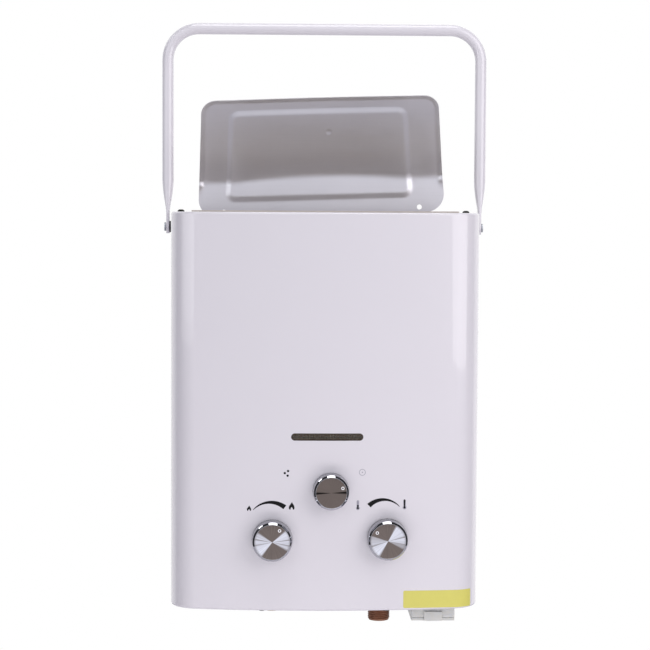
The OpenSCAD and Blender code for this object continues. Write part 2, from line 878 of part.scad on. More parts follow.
module gas_manifold() {
    end_x = chamber_w / 2 - 6;
    color(zinc) {
        box([-end_x, end_x], [manifold_y - manifold_s, manifold_y], [manifold_z, manifold_z + manifold_s]);
        for (s = [-1, 1])
            box([s * end_x - 2, s * end_x + 2], [manifold_y - manifold_s, chamber_y], [manifold_z, manifold_z + manifold_s]);
        bar_z(season_x + 8, manifold_y - manifold_s / 2, season_box[3], 4, manifold_z + 1 - season_box[3]);
    }
}

nozzle_z = manifold_z + manifold_s / 2;
nozzle_r = 2.5;

module burner_nozzles() {
    color(brass) for (x = blade_x) {
        bar_y(x, chamber_y + sheet_t + 1, nozzle_z, nozzle_r, sheet_t + 3);
    }
}

module burner_tray() {
    color(steel) difference() {
        union() {
            sleeve(chamber_w, chamber_y, chamber_d, tray_z, chamber_z - tray_z, sheet_t);
            for (y = [chamber_y + 10, chamber_y + chamber_d - 18])
                box([-chamber_w / 2 + sheet_t / 2, chamber_w / 2 - sheet_t / 2], [y, y + 8], [tray_z, tray_z + 2]);
        }
        for (x = blade_x) bar_y(x, chamber_y + 5, nozzle_z, nozzle_r + clear, 10);
    }
}

module burner_blades() {
    front = chamber_y + sheet_t + 2;
    back = chamber_y + chamber_d - sheet_t - 2;
    color(steel) for (x = blade_x) difference() {
        union() {
            box([x - blade_t / 2 + 1, x + blade_t / 2 - 1], [front, back], [tray_z + 2, blade_top]);
            box([x - blade_t / 2, x + blade_t / 2], [front + 3, back - 3], [blade_top - 8, blade_top - 3]);
            bar_y(x, back, nozzle_z, blade_t / 2, back - front);
        }
        bar_y(x, front + 30, nozzle_z, nozzle_r + 0.5, 40);
    }
}

module combustion_chamber() {
    color(copper) difference() {
        sleeve(chamber_w, chamber_y, chamber_d, chamber_z, fins_z + fins_overlap - chamber_z, sheet_t);
        along_y(chamber_y + 5, 10) slot(window_x, window_z, window_w + 4, window_h + 3);
        for (x = electrode_x) bar_y(x, chamber_y + 5, electrode_z, electrode_r + clear, 10);
    }
}

module chamber_brackets() {
    w = 16;
    h = 14;
    side_x = chamber_w / 2 - 26;
    color(zinc) for (s = [-1, 1], z = [chamber_z + 6, fins_z - 2 * h])
        translate([s * side_x - w / 2, -chamber_back, z]) difference() {
            cube([w, chamber_back - plate_t, h]);
            translate([-1, plate_t, plate_t]) cube([w + 2, chamber_back - 3 * plate_t, h]);
        }
}

module exchanger_fins() {
    pitch = (fin_w - fin_t) / (fin_count - 1);
    color(copper) for (i = [0:fin_count - 1])
        along_x(-fin_w / 2 + i * pitch, fin_t) difference() {
            translate([chamber_mid_y, coil_z]) square([fin_d, fins_h], center = true);
            for (y = coil_y) translate([y, coil_z]) circle(r = coil_r + running);
        }
}

module exchanger_tube() {
    bend_r = coil_pitch / 2;
    color(copper) {
        for (y = coil_y) bar_x(-coil_end_x, y, coil_z, coil_r, 2 * coil_end_x);
        translate([-coil_end_x, coil_y[0] + bend_r, coil_z])
            rotate([0, 0, 90]) rotate_extrude(angle = 180) translate([bend_r, 0]) circle(r = coil_r);
        translate([coil_end_x, coil_y[1] + bend_r, coil_z])
            rotate([0, 0, -90]) rotate_extrude(angle = 180) translate([bend_r, 0]) circle(r = coil_r);
    }
}

module flue_collector() {
    base_z = fins_z + fins_h - fins_overlap;
    top_z = case_h - cover_t - plate_t;
    lip_w = chamber_w + 16;
    color(steel) {
        sleeve(chamber_w, chamber_y, chamber_d, base_z, top_z - base_z, sheet_t);
        difference() {
            box([-lip_w / 2, lip_w / 2], [chamber_y - 4, chamber_y + chamber_d], [top_z - 1, top_z]);
            box([-chamber_w / 2 + 1, chamber_w / 2 - 1], [chamber_y + 1, chamber_y + chamber_d - 1], [top_z - 2, top_z + 1]);
        }
    }
}

// ---- Water side ----------------------------------------------------------------------------

module water_valve_body() {
    color(brass) difference() {
        union() {
            box([water_box[0], water_box[1]], [valve_front_y, valve_front_y + gas_box_d], [water_box[2], water_box[3]]);
            bar_y(water_x, valve_front_y, water_z, shaft_r + 5, boss_len);
            bar_x(water_box[0] - housing_t, valve_mid_y, flame_z, housing_r, housing_t);
        }
        shaft_seat(water_x, water_z, valve_front_y);
        bar_x(water_box[0] - housing_t - 1, valve_mid_y, flame_z, housing_r - 6, housing_t - 1);
    }
}

module water_valve_cover() {
    color(zinc) difference() {
        union() {
            bar_x(diaphragm_x - housing_t, valve_mid_y, flame_z, housing_r, housing_t);
            bar_x(diaphragm_x - housing_t - 5, valve_mid_y, flame_z, 7, 6);
        }
        bar_x(diaphragm_x - housing_t + 2, valve_mid_y, flame_z, housing_r - 6, housing_t);
        bar_x(diaphragm_x - housing_t - 6, valve_mid_y, flame_z, push_rod_r + running, 12);
    }
}

module diaphragm() {
    color(black) bar_x(diaphragm_x, valve_mid_y, flame_z, housing_r, diaphragm_t);
}

module push_rod() {
    color(brass) {
        bar_x(gas_box[1] - 12 + rod_stroke + 1, valve_mid_y, flame_z, push_rod_r, diaphragm_x - clear - gas_box[1] + 12 - rod_stroke - 1);
        bar_x(collar_x, valve_mid_y, flame_z, 4.5, 3);
        bar_x(diaphragm_x - clear - 1.5, valve_mid_y, flame_z, housing_r - 9, 1.5);
    }
}

bracket_y = valve_mid_y + 10;
switch_z = flame_z + 4.5 + clear;

module switch_bracket() {
    color(zinc) box(
        [gas_box[1], diaphragm_x - housing_t],
        [bracket_y, bracket_y + plate_t],
        [flame_z - 5, flame_z + 24]
    );
}

module microswitch() {
    color(black) {
        box([collar_x - 9, collar_x + 11], [bracket_y - 12, bracket_y], [switch_z + 4, switch_z + 15]);
        box([collar_x, collar_x + 3], [valve_mid_y - 1.5, valve_mid_y + 1.5], [switch_z, switch_z + 5]);
    }
}

module cold_pipe() {
    riser_y = coil_y[0];
    color(copper) pipe(
        [
            [coil_end_x + 0.01, riser_y, coil_z],
            [coil_run_x, riser_y, coil_z],
            [coil_run_x, riser_y, riser_turn_z],
            [valve_riser_x, riser_y, riser_turn_z],
            [valve_riser_x, riser_y, water_box[3]]
        ],
        pipe_r
    );
}

outlet_top = 24;

module hot_pipe() {
    color(copper) pipe(
        [[-coil_end_x - 0.01, outlet_y, coil_z], [outlet_x, outlet_y, coil_z], [outlet_x, outlet_y, outlet_top]],
        pipe_r
    );
}

neck_in = 0.75;
thread_top = -2 * clear;
bore_wall = 3;

// A threaded stub under the case, with a neck through the bottom panel and a hexagon above it,
// bored from below and running up to z.
module threaded_stub(x, y, z, r, drop) {
    neck_top = cover_t + plate_t + nut_h + 2;
    difference() {
        union() {
            bar_z(x, y, -drop, r, drop + thread_top);
            bar_z(x, y, thread_top - 1, r - neck_in, neck_top - thread_top + 1);
            translate([x, y, neck_top - 1]) cylinder(h = 5, r = r + 2.5, $fn = 6);
            bar_z(x, y, neck_top, r - 2, z - neck_top);
        }
        bar_z(x, y, -drop - 1, r - bore_wall, drop + neck_top + 3);
    }
}

module water_inlet() {
    color(copper) threaded_stub(inlet_x, inlet_y, water_box[2], water_thread_r, inlet_drop);
}

module water_outlet() {
    color(brass) threaded_stub(outlet_x, outlet_y, outlet_top, water_thread_r, short_drop);
}

module gas_inlet() {
    color(brass) threaded_stub(gas_in_x, gas_in_y, gas_box[2], gas_thread_r, short_drop);
}

module drain_plug() {
    color(brass) {
        bar_z(drain_x, drain_y, -4, drain_r, water_box[2] + 4);
        translate([drain_x, drain_y, -9]) cylinder(h = 5, r = drain_r + 1.5, $fn = 6);
    }
}

module fitting_nuts() {
    color(zinc) for (f = [[inlet_x, inlet_y, water_thread_r], [outlet_x, outlet_y, water_thread_r], [gas_in_x, gas_in_y, gas_thread_r]])
        difference() {
            translate([f.x, f.y, cover_t + plate_t]) cylinder(h = nut_h, r = f.z + 4, $fn = 6);
            bar_z(f.x, f.y, 0, f.z - neck_in + running, 4 * nut_h);
        }
}

// ---- Electrics -----------------------------------------------------------------------------

electrode_x = [window_x - 52, window_x + 52];
electrode_z = chamber_z + 9;
electrode_r = 3;
electrode_front = chamber_y - 10;
igniter_x = [0, 62];
igniter_z = [16, 60];
igniter_d = 26;
lead_r = 1.2;

module igniter_box() {
    color(black) {
        box(igniter_x, [-plate_t - igniter_d, -plate_t], igniter_z);
        for (x = [igniter_x[0] + 8, igniter_x[0] + 22])
            bar_z(x, -plate_t - igniter_d / 2, igniter_z[1], 4, 6);
    }
}

module electrodes() {
    color(white) for (x = electrode_x) {
        bar_y(x, chamber_y + 4, electrode_z, electrode_r, 14);
        bar_y(x, chamber_y + 16, electrode_z, 0.8, 14);
        bar_z(x, chamber_y + 15.2, electrode_z - 2, 0.8, 5);
        bar_y(x, chamber_y, electrode_z, electrode_r + 2, 2);
    }
}

module wiring() {
    post_y = -plate_t - igniter_d / 2;
    post_z = igniter_z[1] + 6;
    side_x = chamber_w / 2 + 7;
    head_y = electrode_front - clear;
    color([0.55, 0.12, 0.1]) {
        pipe(
            [
                [igniter_x[0] + 8, post_y, post_z],
                [igniter_x[0] + 8, post_y, post_z + 34],
                [-side_x, post_y, post_z + 34],
                [-side_x, head_y - 3, electrode_z],
                [electrode_x[0], head_y - 3, electrode_z],
                [electrode_x[0], head_y + clear, electrode_z]
            ],
            lead_r
        );
        pipe(
            [
                [igniter_x[0] + 22, post_y, post_z],
                [igniter_x[0] + 22, post_y, post_z + 26],
                [side_x, post_y, post_z + 26],
                [side_x, head_y - 3, electrode_z],
                [electrode_x[1], head_y - 3, electrode_z],
                [electrode_x[1], head_y + clear, electrode_z]
            ],
            lead_r
        );
        pipe(
            [
                [collar_x + 4, bracket_y - 6, switch_z + 15],
                [collar_x + 4, bracket_y - 6, switch_z + 21],
                [collar_x + 4, -plate_t - igniter_d - 6, switch_z + 21],
                [collar_x + 4, -plate_t - igniter_d - 6, igniter_z[1] - 8],
                [collar_x + 4, -plate_t - igniter_d, igniter_z[1] - 8]
            ],
            lead_r
        );
        pipe(
            [
                [igniter_x[1], -plate_t - igniter_d / 2, igniter_z[0] + 12],
                [battery_x + 10, -plate_t - igniter_d / 2, igniter_z[0] + 12],
                [battery_x + 10, -plate_t - igniter_d / 2, battery_top - 8],
                [battery_x + 10, -battery_back, battery_top - 8]
            ],
            lead_r
        );
        pipe(
            [
                [igniter_x[0], -plate_t - igniter_d / 2, igniter_z[1] - 10],
                [outlet_x + 10, -plate_t - igniter_d / 2, igniter_z[1] - 10],
                [outlet_x + 10, outlet_y + 8, sensor_z - 20],
                [outlet_x + 10, outlet_y, sensor_z - 12],
                [outlet_x + 10, outlet_y, sensor_z]
            ],
            lead_r
        );
    }
}

sensor_z = chamber_z + 50;

module overheat_sensor() {
    h = 14;
    color(black) difference() {
        box([outlet_x - pipe_r - 3, outlet_x + pipe_r + 8], [outlet_y - pipe_r, outlet_y + pipe_r], [sensor_z, sensor_z + h]);
        bar_z(outlet_x, outlet_y, sensor_z - 1, pipe_r + running, h + 2);
        box([outlet_x - pipe_r - 4, outlet_x], [outlet_y - pipe_r / 2, outlet_y + pipe_r / 2], [sensor_z - 1, sensor_z + h + 1]);
    }
}

// ---- Battery box ---------------------------------------------------------------------------

module battery_case() {
    color(milky) {
        difference() {
            box([battery_x, battery_x + battery_w], [battery_front_y, -battery_back], [battery_floor, battery_top]);
            box(
                [battery_x + battery_wall, battery_x + battery_w - battery_wall],
                [battery_front_y + battery_wall, -battery_back - battery_wall],
                [battery_floor - 1, battery_top - battery_wall]
            );
        }
        difference() {
            box([battery_x - 4, battery_x + battery_w + 4], [battery_front_y - 4, -battery_back + 4], [cover_t + plate_t, cover_t + plate_t + 2]);
            box([battery_x + 1, battery_x + battery_w - 1], [battery_front_y + 1, -battery_back - 1], [0, 10]);
        }
        for (x = [battery_x + lid_ear_w, battery_x + battery_w - 2 * lid_ear_w]) difference() {
            union() {
                box([x, x + lid_ear_w], [-battery_back, lid_axis_y], [battery_floor, lid_axis_z + 2.5]);
                bar_x(x, lid_axis_y, lid_axis_z, 2.5, lid_ear_w);
            }
            bar_x(x - 1, lid_axis_y, lid_axis_z, lid_pin_r + running, lid_ear_w + 2);
        }
    }
}

module battery_lid() {
    knuckle_x = [battery_x + 2 * lid_ear_w + clear, battery_x + battery_w - 2 * lid_ear_w - clear];
    color(milky) {
        box([battery_x, battery_x + battery_w], [battery_front_y, -battery_back], [-battery_drop, battery_floor - clear]);
        difference() {
            union() {
                box(knuckle_x, [-battery_back - 1, lid_axis_y], [-battery_drop, lid_axis_z - 1.4]);
                bar_x(knuckle_x[0], lid_axis_y, lid_axis_z, 2.4, knuckle_x[1] - knuckle_x[0]);
            }
            bar_x(knuckle_x[0] - 1, lid_axis_y, lid_axis_z, lid_pin_r + running, knuckle_x[1] - knuckle_x[0] + 2);
        }
        box([battery_x + 12, battery_x + battery_w - 12], [battery_front_y - 1.8 - clear, battery_front_y - clear], [-battery_drop, battery_floor + 6]);
        box([battery_x + 12, battery_x + battery_w - 12], [battery_front_y - 1.8 - clear, battery_front_y + 1], [-battery_drop, battery_floor - clear]);
    }
}

module battery_lid_pin() {
    color(zinc) bar_x(battery_x + lid_ear_w - 0.5, lid_axis_y, lid_axis_z, lid_pin_r, battery_w - 3 * lid_ear_w + 1 + lid_ear_w);
}

module battery_cells() {
    color([0.2, 0.25, 0.4]) for (y = cell_y) {
        bar_z(cell_x, y, battery_floor + 0.8, cell_r, cell_h - 1.5);
        bar_z(cell_x, y, battery_floor + 0.8, 4.75, cell_h);
    }
}

module battery_contacts() {
    color(brass) {
        for (y = cell_y)
            box([cell_x - 6, cell_x + 6], [y - 6, y + 6], [battery_floor + 0.8 + cell_h, battery_top - battery_wall]);
        box([cell_x - 6, cell_x + 6], [cell_y[0] - 4, cell_y[1] + 4], [battery_floor, battery_floor + 0.8]);
    }
}

// ---- The parts -----------------------------------------------------------------------------

front_cover();
back_plate();
top_panel();
bottom_panel();
flue_grille();
window_mesh();
window_glass();
cover_screws();
handle();
handle_screws();
handle_bushes();
handle_nuts();
hood();
hood_hinge_leaves();
hood_hinge_rod();
hood_hinge_ears();
flame_knob();
flame_knob_cap();
flame_shaft();
season_knob();
season_knob_cap();
season_shaft();
water_knob();
water_knob_cap();
water_shaft();
gas_valve_body();
gas_solenoid();
season_valve_body();
gas_link_pipe();
gas_manifold();
burner_nozzles();
burner_tray();
burner_blades();
combustion_chamber();
chamber_brackets();
exchanger_fins();
exchanger_tube();
flue_collector();
water_valve_body();
water_valve_cover();
diaphragm();
push_rod();
microswitch();
switch_bracket();
cold_pipe();
hot_pipe();
water_inlet();
water_outlet();
gas_inlet();
drain_plug();
fitting_nuts();
igniter_box();
electrodes();
wiring();
overheat_sensor();
battery_case();
battery_lid();
battery_lid_pin();
battery_cells();
battery_contacts();
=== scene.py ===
"""Portable propane water heater: its finishes and fine shapes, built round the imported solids.

Shapes are worked out in millimetres and placed in metres, in the row frame: +X to the viewer's
right, the front faces -Y, +Z up, the wall plane is y = 0 and the underside of the case is z = 0.
"""

import logging
import math
from dataclasses import dataclass, field, replace
from enum import Enum
from typing import Callable, Sequence, Union

import bmesh
import bpy
from mathutils import Matrix, Vector


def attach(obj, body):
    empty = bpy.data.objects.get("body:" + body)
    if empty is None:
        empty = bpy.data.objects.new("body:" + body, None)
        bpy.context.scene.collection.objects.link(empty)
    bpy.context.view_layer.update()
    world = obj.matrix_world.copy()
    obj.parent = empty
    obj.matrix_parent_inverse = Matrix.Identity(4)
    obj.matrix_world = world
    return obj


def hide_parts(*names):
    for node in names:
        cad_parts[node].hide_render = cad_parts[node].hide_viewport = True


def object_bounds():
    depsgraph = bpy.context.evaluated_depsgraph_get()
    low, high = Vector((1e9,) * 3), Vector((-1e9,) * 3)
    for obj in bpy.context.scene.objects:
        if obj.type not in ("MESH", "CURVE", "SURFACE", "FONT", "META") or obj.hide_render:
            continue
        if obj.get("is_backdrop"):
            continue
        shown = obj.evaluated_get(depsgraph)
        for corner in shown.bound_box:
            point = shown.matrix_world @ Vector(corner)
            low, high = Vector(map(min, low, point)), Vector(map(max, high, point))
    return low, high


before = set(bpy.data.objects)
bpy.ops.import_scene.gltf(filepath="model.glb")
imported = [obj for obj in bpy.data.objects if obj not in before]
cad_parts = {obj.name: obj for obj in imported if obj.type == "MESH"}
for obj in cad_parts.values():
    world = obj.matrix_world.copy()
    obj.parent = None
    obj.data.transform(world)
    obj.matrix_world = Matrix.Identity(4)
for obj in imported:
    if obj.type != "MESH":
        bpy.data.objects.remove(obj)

MM = 0.001
Point = tuple[float, float, float]
Flat = tuple[float, float]
Piece = bpy.types.Object
CASE_BODY = "case"
LOG = logging.getLogger("water_heater")

# Places that several pieces share: X and Z on the front, and the handle's pivot in Y and Z.
WINDOW: Flat = (1.7, 162.7)
FLAME_KNOB: Flat = (-48.8, 67.0)
SEASON_KNOB: Flat = (5.4, 112.8)
WATER_KNOB: Flat = (57.9, 68.0)
HANDLE_PIVOT: Flat = (-40.0, 355.5)
PIVOT_HOLE_R = 2.55
PIVOT_BORE: Flat = (-160.0, 320.0)  # where the bar that bores both holes starts, and its length


# ---- Modelling by hand ----------------------------------------------------------------------


def deselect() -> None:
    """Leaves nothing selected."""
    for obj in bpy.context.selected_objects:
        obj.select_set(False)


def only(obj: Piece) -> None:
    """Selects one piece alone and makes it active."""
    deselect()
    obj.select_set(True)
    bpy.context.view_layer.objects.active = obj


def named(obj: Piece, name: str) -> Piece:
    """Names a piece and its mesh."""
    obj.name = obj.data.name = name
    return obj


def tidy_mesh(obj: Piece) -> Piece:
    """Merges a piece's doubled points and turns all its faces outwards.

    Args:
        obj: The piece.

    Returns:
        The same piece.
    """
    only(obj)
    bpy.ops.object.mode_set(mode="EDIT")
    bpy.ops.mesh.select_all(action="SELECT")
    bpy.ops.mesh.remove_doubles(threshold=0.002 * MM)
    bpy.ops.mesh.normals_make_consistent(inside=False)
    bpy.ops.object.mode_set(mode="OBJECT")
    return obj


def smooth(obj: Piece, degrees: float) -> Piece:
    """Shades a piece smooth, with its folds sharper than an angle kept crisp."""
    only(obj)
    bpy.ops.object.shade_smooth_by_angle(angle=math.radians(degrees))
    return obj


def applied(obj: Piece, kind: str, **settings: object) -> Piece:
    """Adds a modifier to a piece, sets it and applies it.

    Args:
        obj: The piece.
        kind: The modifier's type.
        settings: The modifier's properties by name.

    Returns:
        The same piece.
    """
    only(obj)
    modifier = obj.modifiers.new(kind.title(), kind)
    for key, value in settings.items():
        setattr(modifier, key, value)
    bpy.ops.object.modifier_apply(modifier=modifier.name)
    return obj


def bevelled(obj: Piece, width_mm: float, degrees: float = 40.0, segments: int = 2) -> Piece:
    """Rounds a piece's sharp edges.

    Args:
        obj: The piece.
        width_mm: Width of the rounding.
        degrees: Edges that turn by more than this are rounded.
        segments: Steps across the rounding.

    Returns:
        The same piece.
    """
    return applied(
        obj, "BEVEL", width=width_mm * MM, segments=segments, limit_method="ANGLE",
        angle_limit=math.radians(degrees), miter_outer="MITER_ARC",
    )


def evened(obj: Piece) -> Piece:
    """Lets a piece's broad faces set its shading, so that they stay flat beside their roundings."""
    return applied(obj, "WEIGHTED_NORMAL", keep_sharp=True, weight=90)


def duplicate(model: Piece, name: str) -> Piece:
    """A copy of a piece with its own mesh."""
    copy = bpy.data.objects.new(name, model.data.copy())
    bpy.context.scene.collection.objects.link(copy)
    return copy


def cut(obj: Piece, cutters: Sequence[Piece]) -> Piece:
    """Takes the cutters' shapes out of a piece and removes the cutters.

    Args:
        obj: The piece.
        cutters: The shapes that come out of it.

    Returns:
        The same piece.
    """
    for cutter in cutters:
        applied(obj, "BOOLEAN", operation="DIFFERENCE", solver="EXACT", object=cutter)
        bpy.data.objects.remove(cutter)
    return obj


def fill_row(obj: Piece, row: Sequence[Point]) -> None:
    """Closes an end of a skin, in edit mode, with one face through a row of its points.

    Args:
        obj: The skin.
        row: The end's points, in millimetres.
    """

    def key(place: Sequence[float]) -> tuple[float, ...]:
        """A place in metres, rounded so that it can be looked up."""
        return tuple(round(c, 7) for c in place)

    corners = {key([c * MM for c in point]) for point in row}
    bpy.ops.mesh.select_all(action="DESELECT")
    bm = bmesh.from_edit_mesh(obj.data)
    for vert in bm.verts:
        vert.select = key(vert.co) in corners
    bm.select_flush_mode()
    bmesh.update_edit_mesh(obj.data)
    bpy.ops.mesh.edge_face_add()


def loft(
    name: str,
    rows: Sequence[Sequence[Point]],
    closed: bool = True,
    ends: tuple[bool, bool] = (False, False),
) -> Piece:
    """Models a skin through rows of points: a ring is extruded and shaped row by row.

    Args:
        name: The piece's name.
        rows: Rows of equally many points, in millimetres.
        closed: Whether each row runs round to its start.
        ends: Whether the first and the last row are filled.

    Returns:
        The piece, with its faces outwards where it is closed.
    """
    count = len(rows[0])
    deselect()
    bpy.ops.mesh.primitive_circle_add(vertices=count, radius=MM, fill_type="NOTHING")
    obj = named(bpy.context.object, name)
    bpy.ops.object.mode_set(mode="EDIT")
    bm = bmesh.from_edit_mesh(obj.data)
    bm.verts.ensure_lookup_table()
    if not closed:
        bm.edges.remove(bm.edges.get((bm.verts[count - 1], bm.verts[0])))
    for vert, point in zip(bm.verts, rows[0]):
        vert.co = Vector(point) * MM
    bmesh.update_edit_mesh(obj.data)
    bpy.ops.mesh.select_all(action="SELECT")
    # Which point of a row each newest vertex stands for, by the vertex's index.
    order = {i: i for i in range(count)}
    for number, row in enumerate(rows[1:], 1):
        bpy.ops.mesh.extrude_edges_move()
        bm = bmesh.from_edit_mesh(obj.data)
        bm.verts.ensure_lookup_table()
        bm.verts.index_update()
        fresh: dict[int, int] = {}
        for index in range(number * count, (number + 1) * count):
            vert = bm.verts[index]
            others = (edge.other_vert(vert).index for edge in vert.link_edges)
            column = next(order[other] for other in others if other in order)
            vert.co = Vector(row[column]) * MM
            fresh[index] = column
        order = fresh
    bmesh.update_edit_mesh(obj.data)
    for fill, row in zip(ends, (rows[0], rows[-1])):
        if fill:
            fill_row(obj, row)
    bpy.ops.object.mode_set(mode="OBJECT")
    return tidy_mesh(obj)


def facing(obj: Piece, near: Point, towards: Point) -> Piece:
    """Turns an open sheet over if its face nearest a point looks the wrong way.

    Args:
        obj: The sheet.
        near: A point in millimetres, by the face that is tested.
        towards: The direction that this face should look in.

    Returns:
        The same sheet.
    """
    spot = Vector(near) * MM
    face = min(obj.data.polygons, key=lambda p: (p.center - spot).length)
    if face.normal.dot(Vector(towards)) < 0:
        only(obj)
        bpy.ops.object.mode_set(mode="EDIT")
        bpy.ops.mesh.select_all(action="SELECT")
        bpy.ops.mesh.flip_normals()
        bpy.ops.object.mode_set(mode="OBJECT")
    return obj


class Axis(Enum):
    """The direction that a turned piece or a pin runs in."""

    RIGHT = (0, 1, 2)
    FRONT = (1, 2, 0)
    UP = (2, 0, 1)

    def place(self, centre: Point, across: Flat, along: float) -> Point:
        """A point at a distance along the axis and off it.

        Args:
            centre: Where the axis starts.
            across: The two distances off the axis.
            along: The distance along it; towards the viewer for FRONT.

        Returns:
            The point.
        """
        out = list(centre)
        main, first, second = self.value
        out[main] += -along if self is Axis.FRONT else along
        out[first] += across[0]
        out[second] += across[1]
        return (out[0], out[1], out[2])


def circle(centre: Point, axis: Axis, r: float, along: float, steps: int) -> list[Point]:
    """Points round an axis, at a distance along it."""
    angles = (math.tau * i / steps for i in range(steps))
    return [axis.place(centre, (r * math.cos(a), r * math.sin(a)), along) for a in angles]


def arc(centre: Flat, r: float, start: float, end: float, steps: int) -> list[Flat]:
    """Points along an arc between two angles, with both of its ends."""
    angles = (start + (end - start) * i / steps for i in range(steps + 1))
    return [(centre[0] + r * math.cos(a), centre[1] + r * math.sin(a)) for a in angles]


def turned(
    name: str,
    profile: Sequence[Flat],
    centre: Point,
    axis: Axis,
    steps: int = 64,
    ends: tuple[bool, bool] = (False, False),
) -> Piece:
    """Models a turned piece: a circle that is extruded and resized along its profile.

    Args:
        name: The piece's name.
        profile: Radius and height at each step, in millimetres. A radius of 0 closes a pole.
        centre: Where the axis starts.
        axis: The axis' direction.
        steps: Points round the piece; 6 make a hexagon.
        ends: Whether the first and the last circle are filled.

    Returns:
        The piece.
    """
    return loft(name, [circle(centre, axis, r, h, steps) for r, h in profile], ends=ends)


def pin(name: str, centre: Point, axis: Axis, radius: float, length: float, steps: int = 40) -> Piece:
    """A plain round bar, used to cut holes."""
    return turned(name, [(radius, 0), (radius, length)], centre, axis, steps, (True, True))


def grid(name: str, columns: int, rows: int, shape: Callable[[float, float], Point]) -> Piece:
    """Models a sheet: a flat grid whose points are then pressed into shape.

    Args:
        name: The piece's name.
        columns: Faces across.
        rows: Faces along.
        shape: Gives a point in millimetres for two shares from 0 to 1.

    Returns:
        The sheet, one face thick.
    """
    deselect()
    bpy.ops.mesh.primitive_grid_add(x_subdivisions=columns, y_subdivisions=rows, size=1)
    obj = named(bpy.context.object, name)
    for vert in obj.data.vertices:
        vert.co = Vector(shape(vert.co.x + 0.5, vert.co.y + 0.5)) * MM
    obj.data.update()
    return obj


def solid_copy(node: str, name: str, whole: bool = True) -> Piece:
    """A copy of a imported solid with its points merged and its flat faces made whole.

    Args:
        node: The solid's name.
        name: The new piece's name.
        whole: Whether flat faces become one; a face with many slots stays in triangles.

    Returns:
        The copy.
    """
    obj = duplicate(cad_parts[node], name)
    obj.data.name = name
    only(obj)
    if obj.data.has_custom_normals:
        bpy.ops.mesh.customdata_custom_splitnormals_clear()
    bpy.ops.object.mode_set(mode="EDIT")
    bpy.ops.mesh.select_all(action="SELECT")
    bpy.ops.mesh.remove_doubles(threshold=0.001 * MM)
    if whole:
        bpy.ops.mesh.dissolve_limited(angle_limit=math.radians(0.4))
    bpy.ops.object.mode_set(mode="OBJECT")
    return obj


def joined(name: str, parts: Sequence[Piece]) -> Piece:
    """Joins loose parts of one piece into one object.

    Args:
        name: The new piece's name.
        parts: The parts, of which the first takes up the others.

    Returns:
        The joined piece.
    """
    deselect()
    for part in parts:
        part.select_set(True)
    bpy.context.view_layer.objects.active = parts[0]
    bpy.ops.object.join()
    return named(parts[0], name)


def eased(value: float, low: float, high: float, rounding: float = 1.0) -> float:
    """A rise from 0 at one value to 1 at another.

    Args:
        value: Where the rise is read.
        low: Where it starts.
        high: Where it ends.
        rounding: 0 for an even slope, 1 for one that is smooth at both ends.

    Returns:
        The height at the value.
    """
    t = min(1.0, max(0.0, (value - low) / (high - low)))
    return t * (1 - rounding) + rounding * t * t * (3 - 2 * t)


# ---- Finishes -------------------------------------------------------------------------------


def linear(colour: str, gain: float = 1.0) -> tuple[float, float, float, float]:
    """Turns an sRGB hex colour to linear, a little lighter or darker if asked.

    Args:
        colour: Six hex digits.
        gain: What each linear channel is multiplied by.

    Returns:
        The colour with an alpha of 1.
    """
    channels = [int(colour[i : i + 2], 16) / 255 for i in (0, 2, 4)]
    lit = [c / 12.92 if c <= 0.04045 else ((c + 0.055) / 1.055) ** 2.4 for c in channels]
    return tuple(min(1.0, c * gain) for c in lit) + (1.0,)


def add_node(
    tree: bpy.types.NodeTree,
    kind: str,
    inputs: Union[dict, None] = None,
    **settings: object,
) -> bpy.types.Node:
    """Adds a node with its settings, values and links.

    Args:
        tree: The material's or the world's node tree.
        kind: The node's type.
        inputs: A value or another node's output for each socket, by name or number.
        settings: The node's properties by name.

    Returns:
        The node.
    """
    made = tree.nodes.new(kind)
    for key, value in settings.items():
        setattr(made, key, value)
    for key, value in (inputs or {}).items():
        if isinstance(value, bpy.types.NodeSocket):
            tree.links.new(value, made.inputs[key])
        else:
            made.inputs[key].default_value = value
    return made


class Grain(Enum):
    """How a surface's fine relief runs: its scale along X, Y and Z, where a small one draws it out."""

    EVEN = (1.0, 1.0, 1.0)
    ALONG_X = (0.02, 1.0, 1.0)


# Nearly all of a noise pattern's values lie between these two.
NOISE_LOW, NOISE_HIGH = 0.3, 0.7


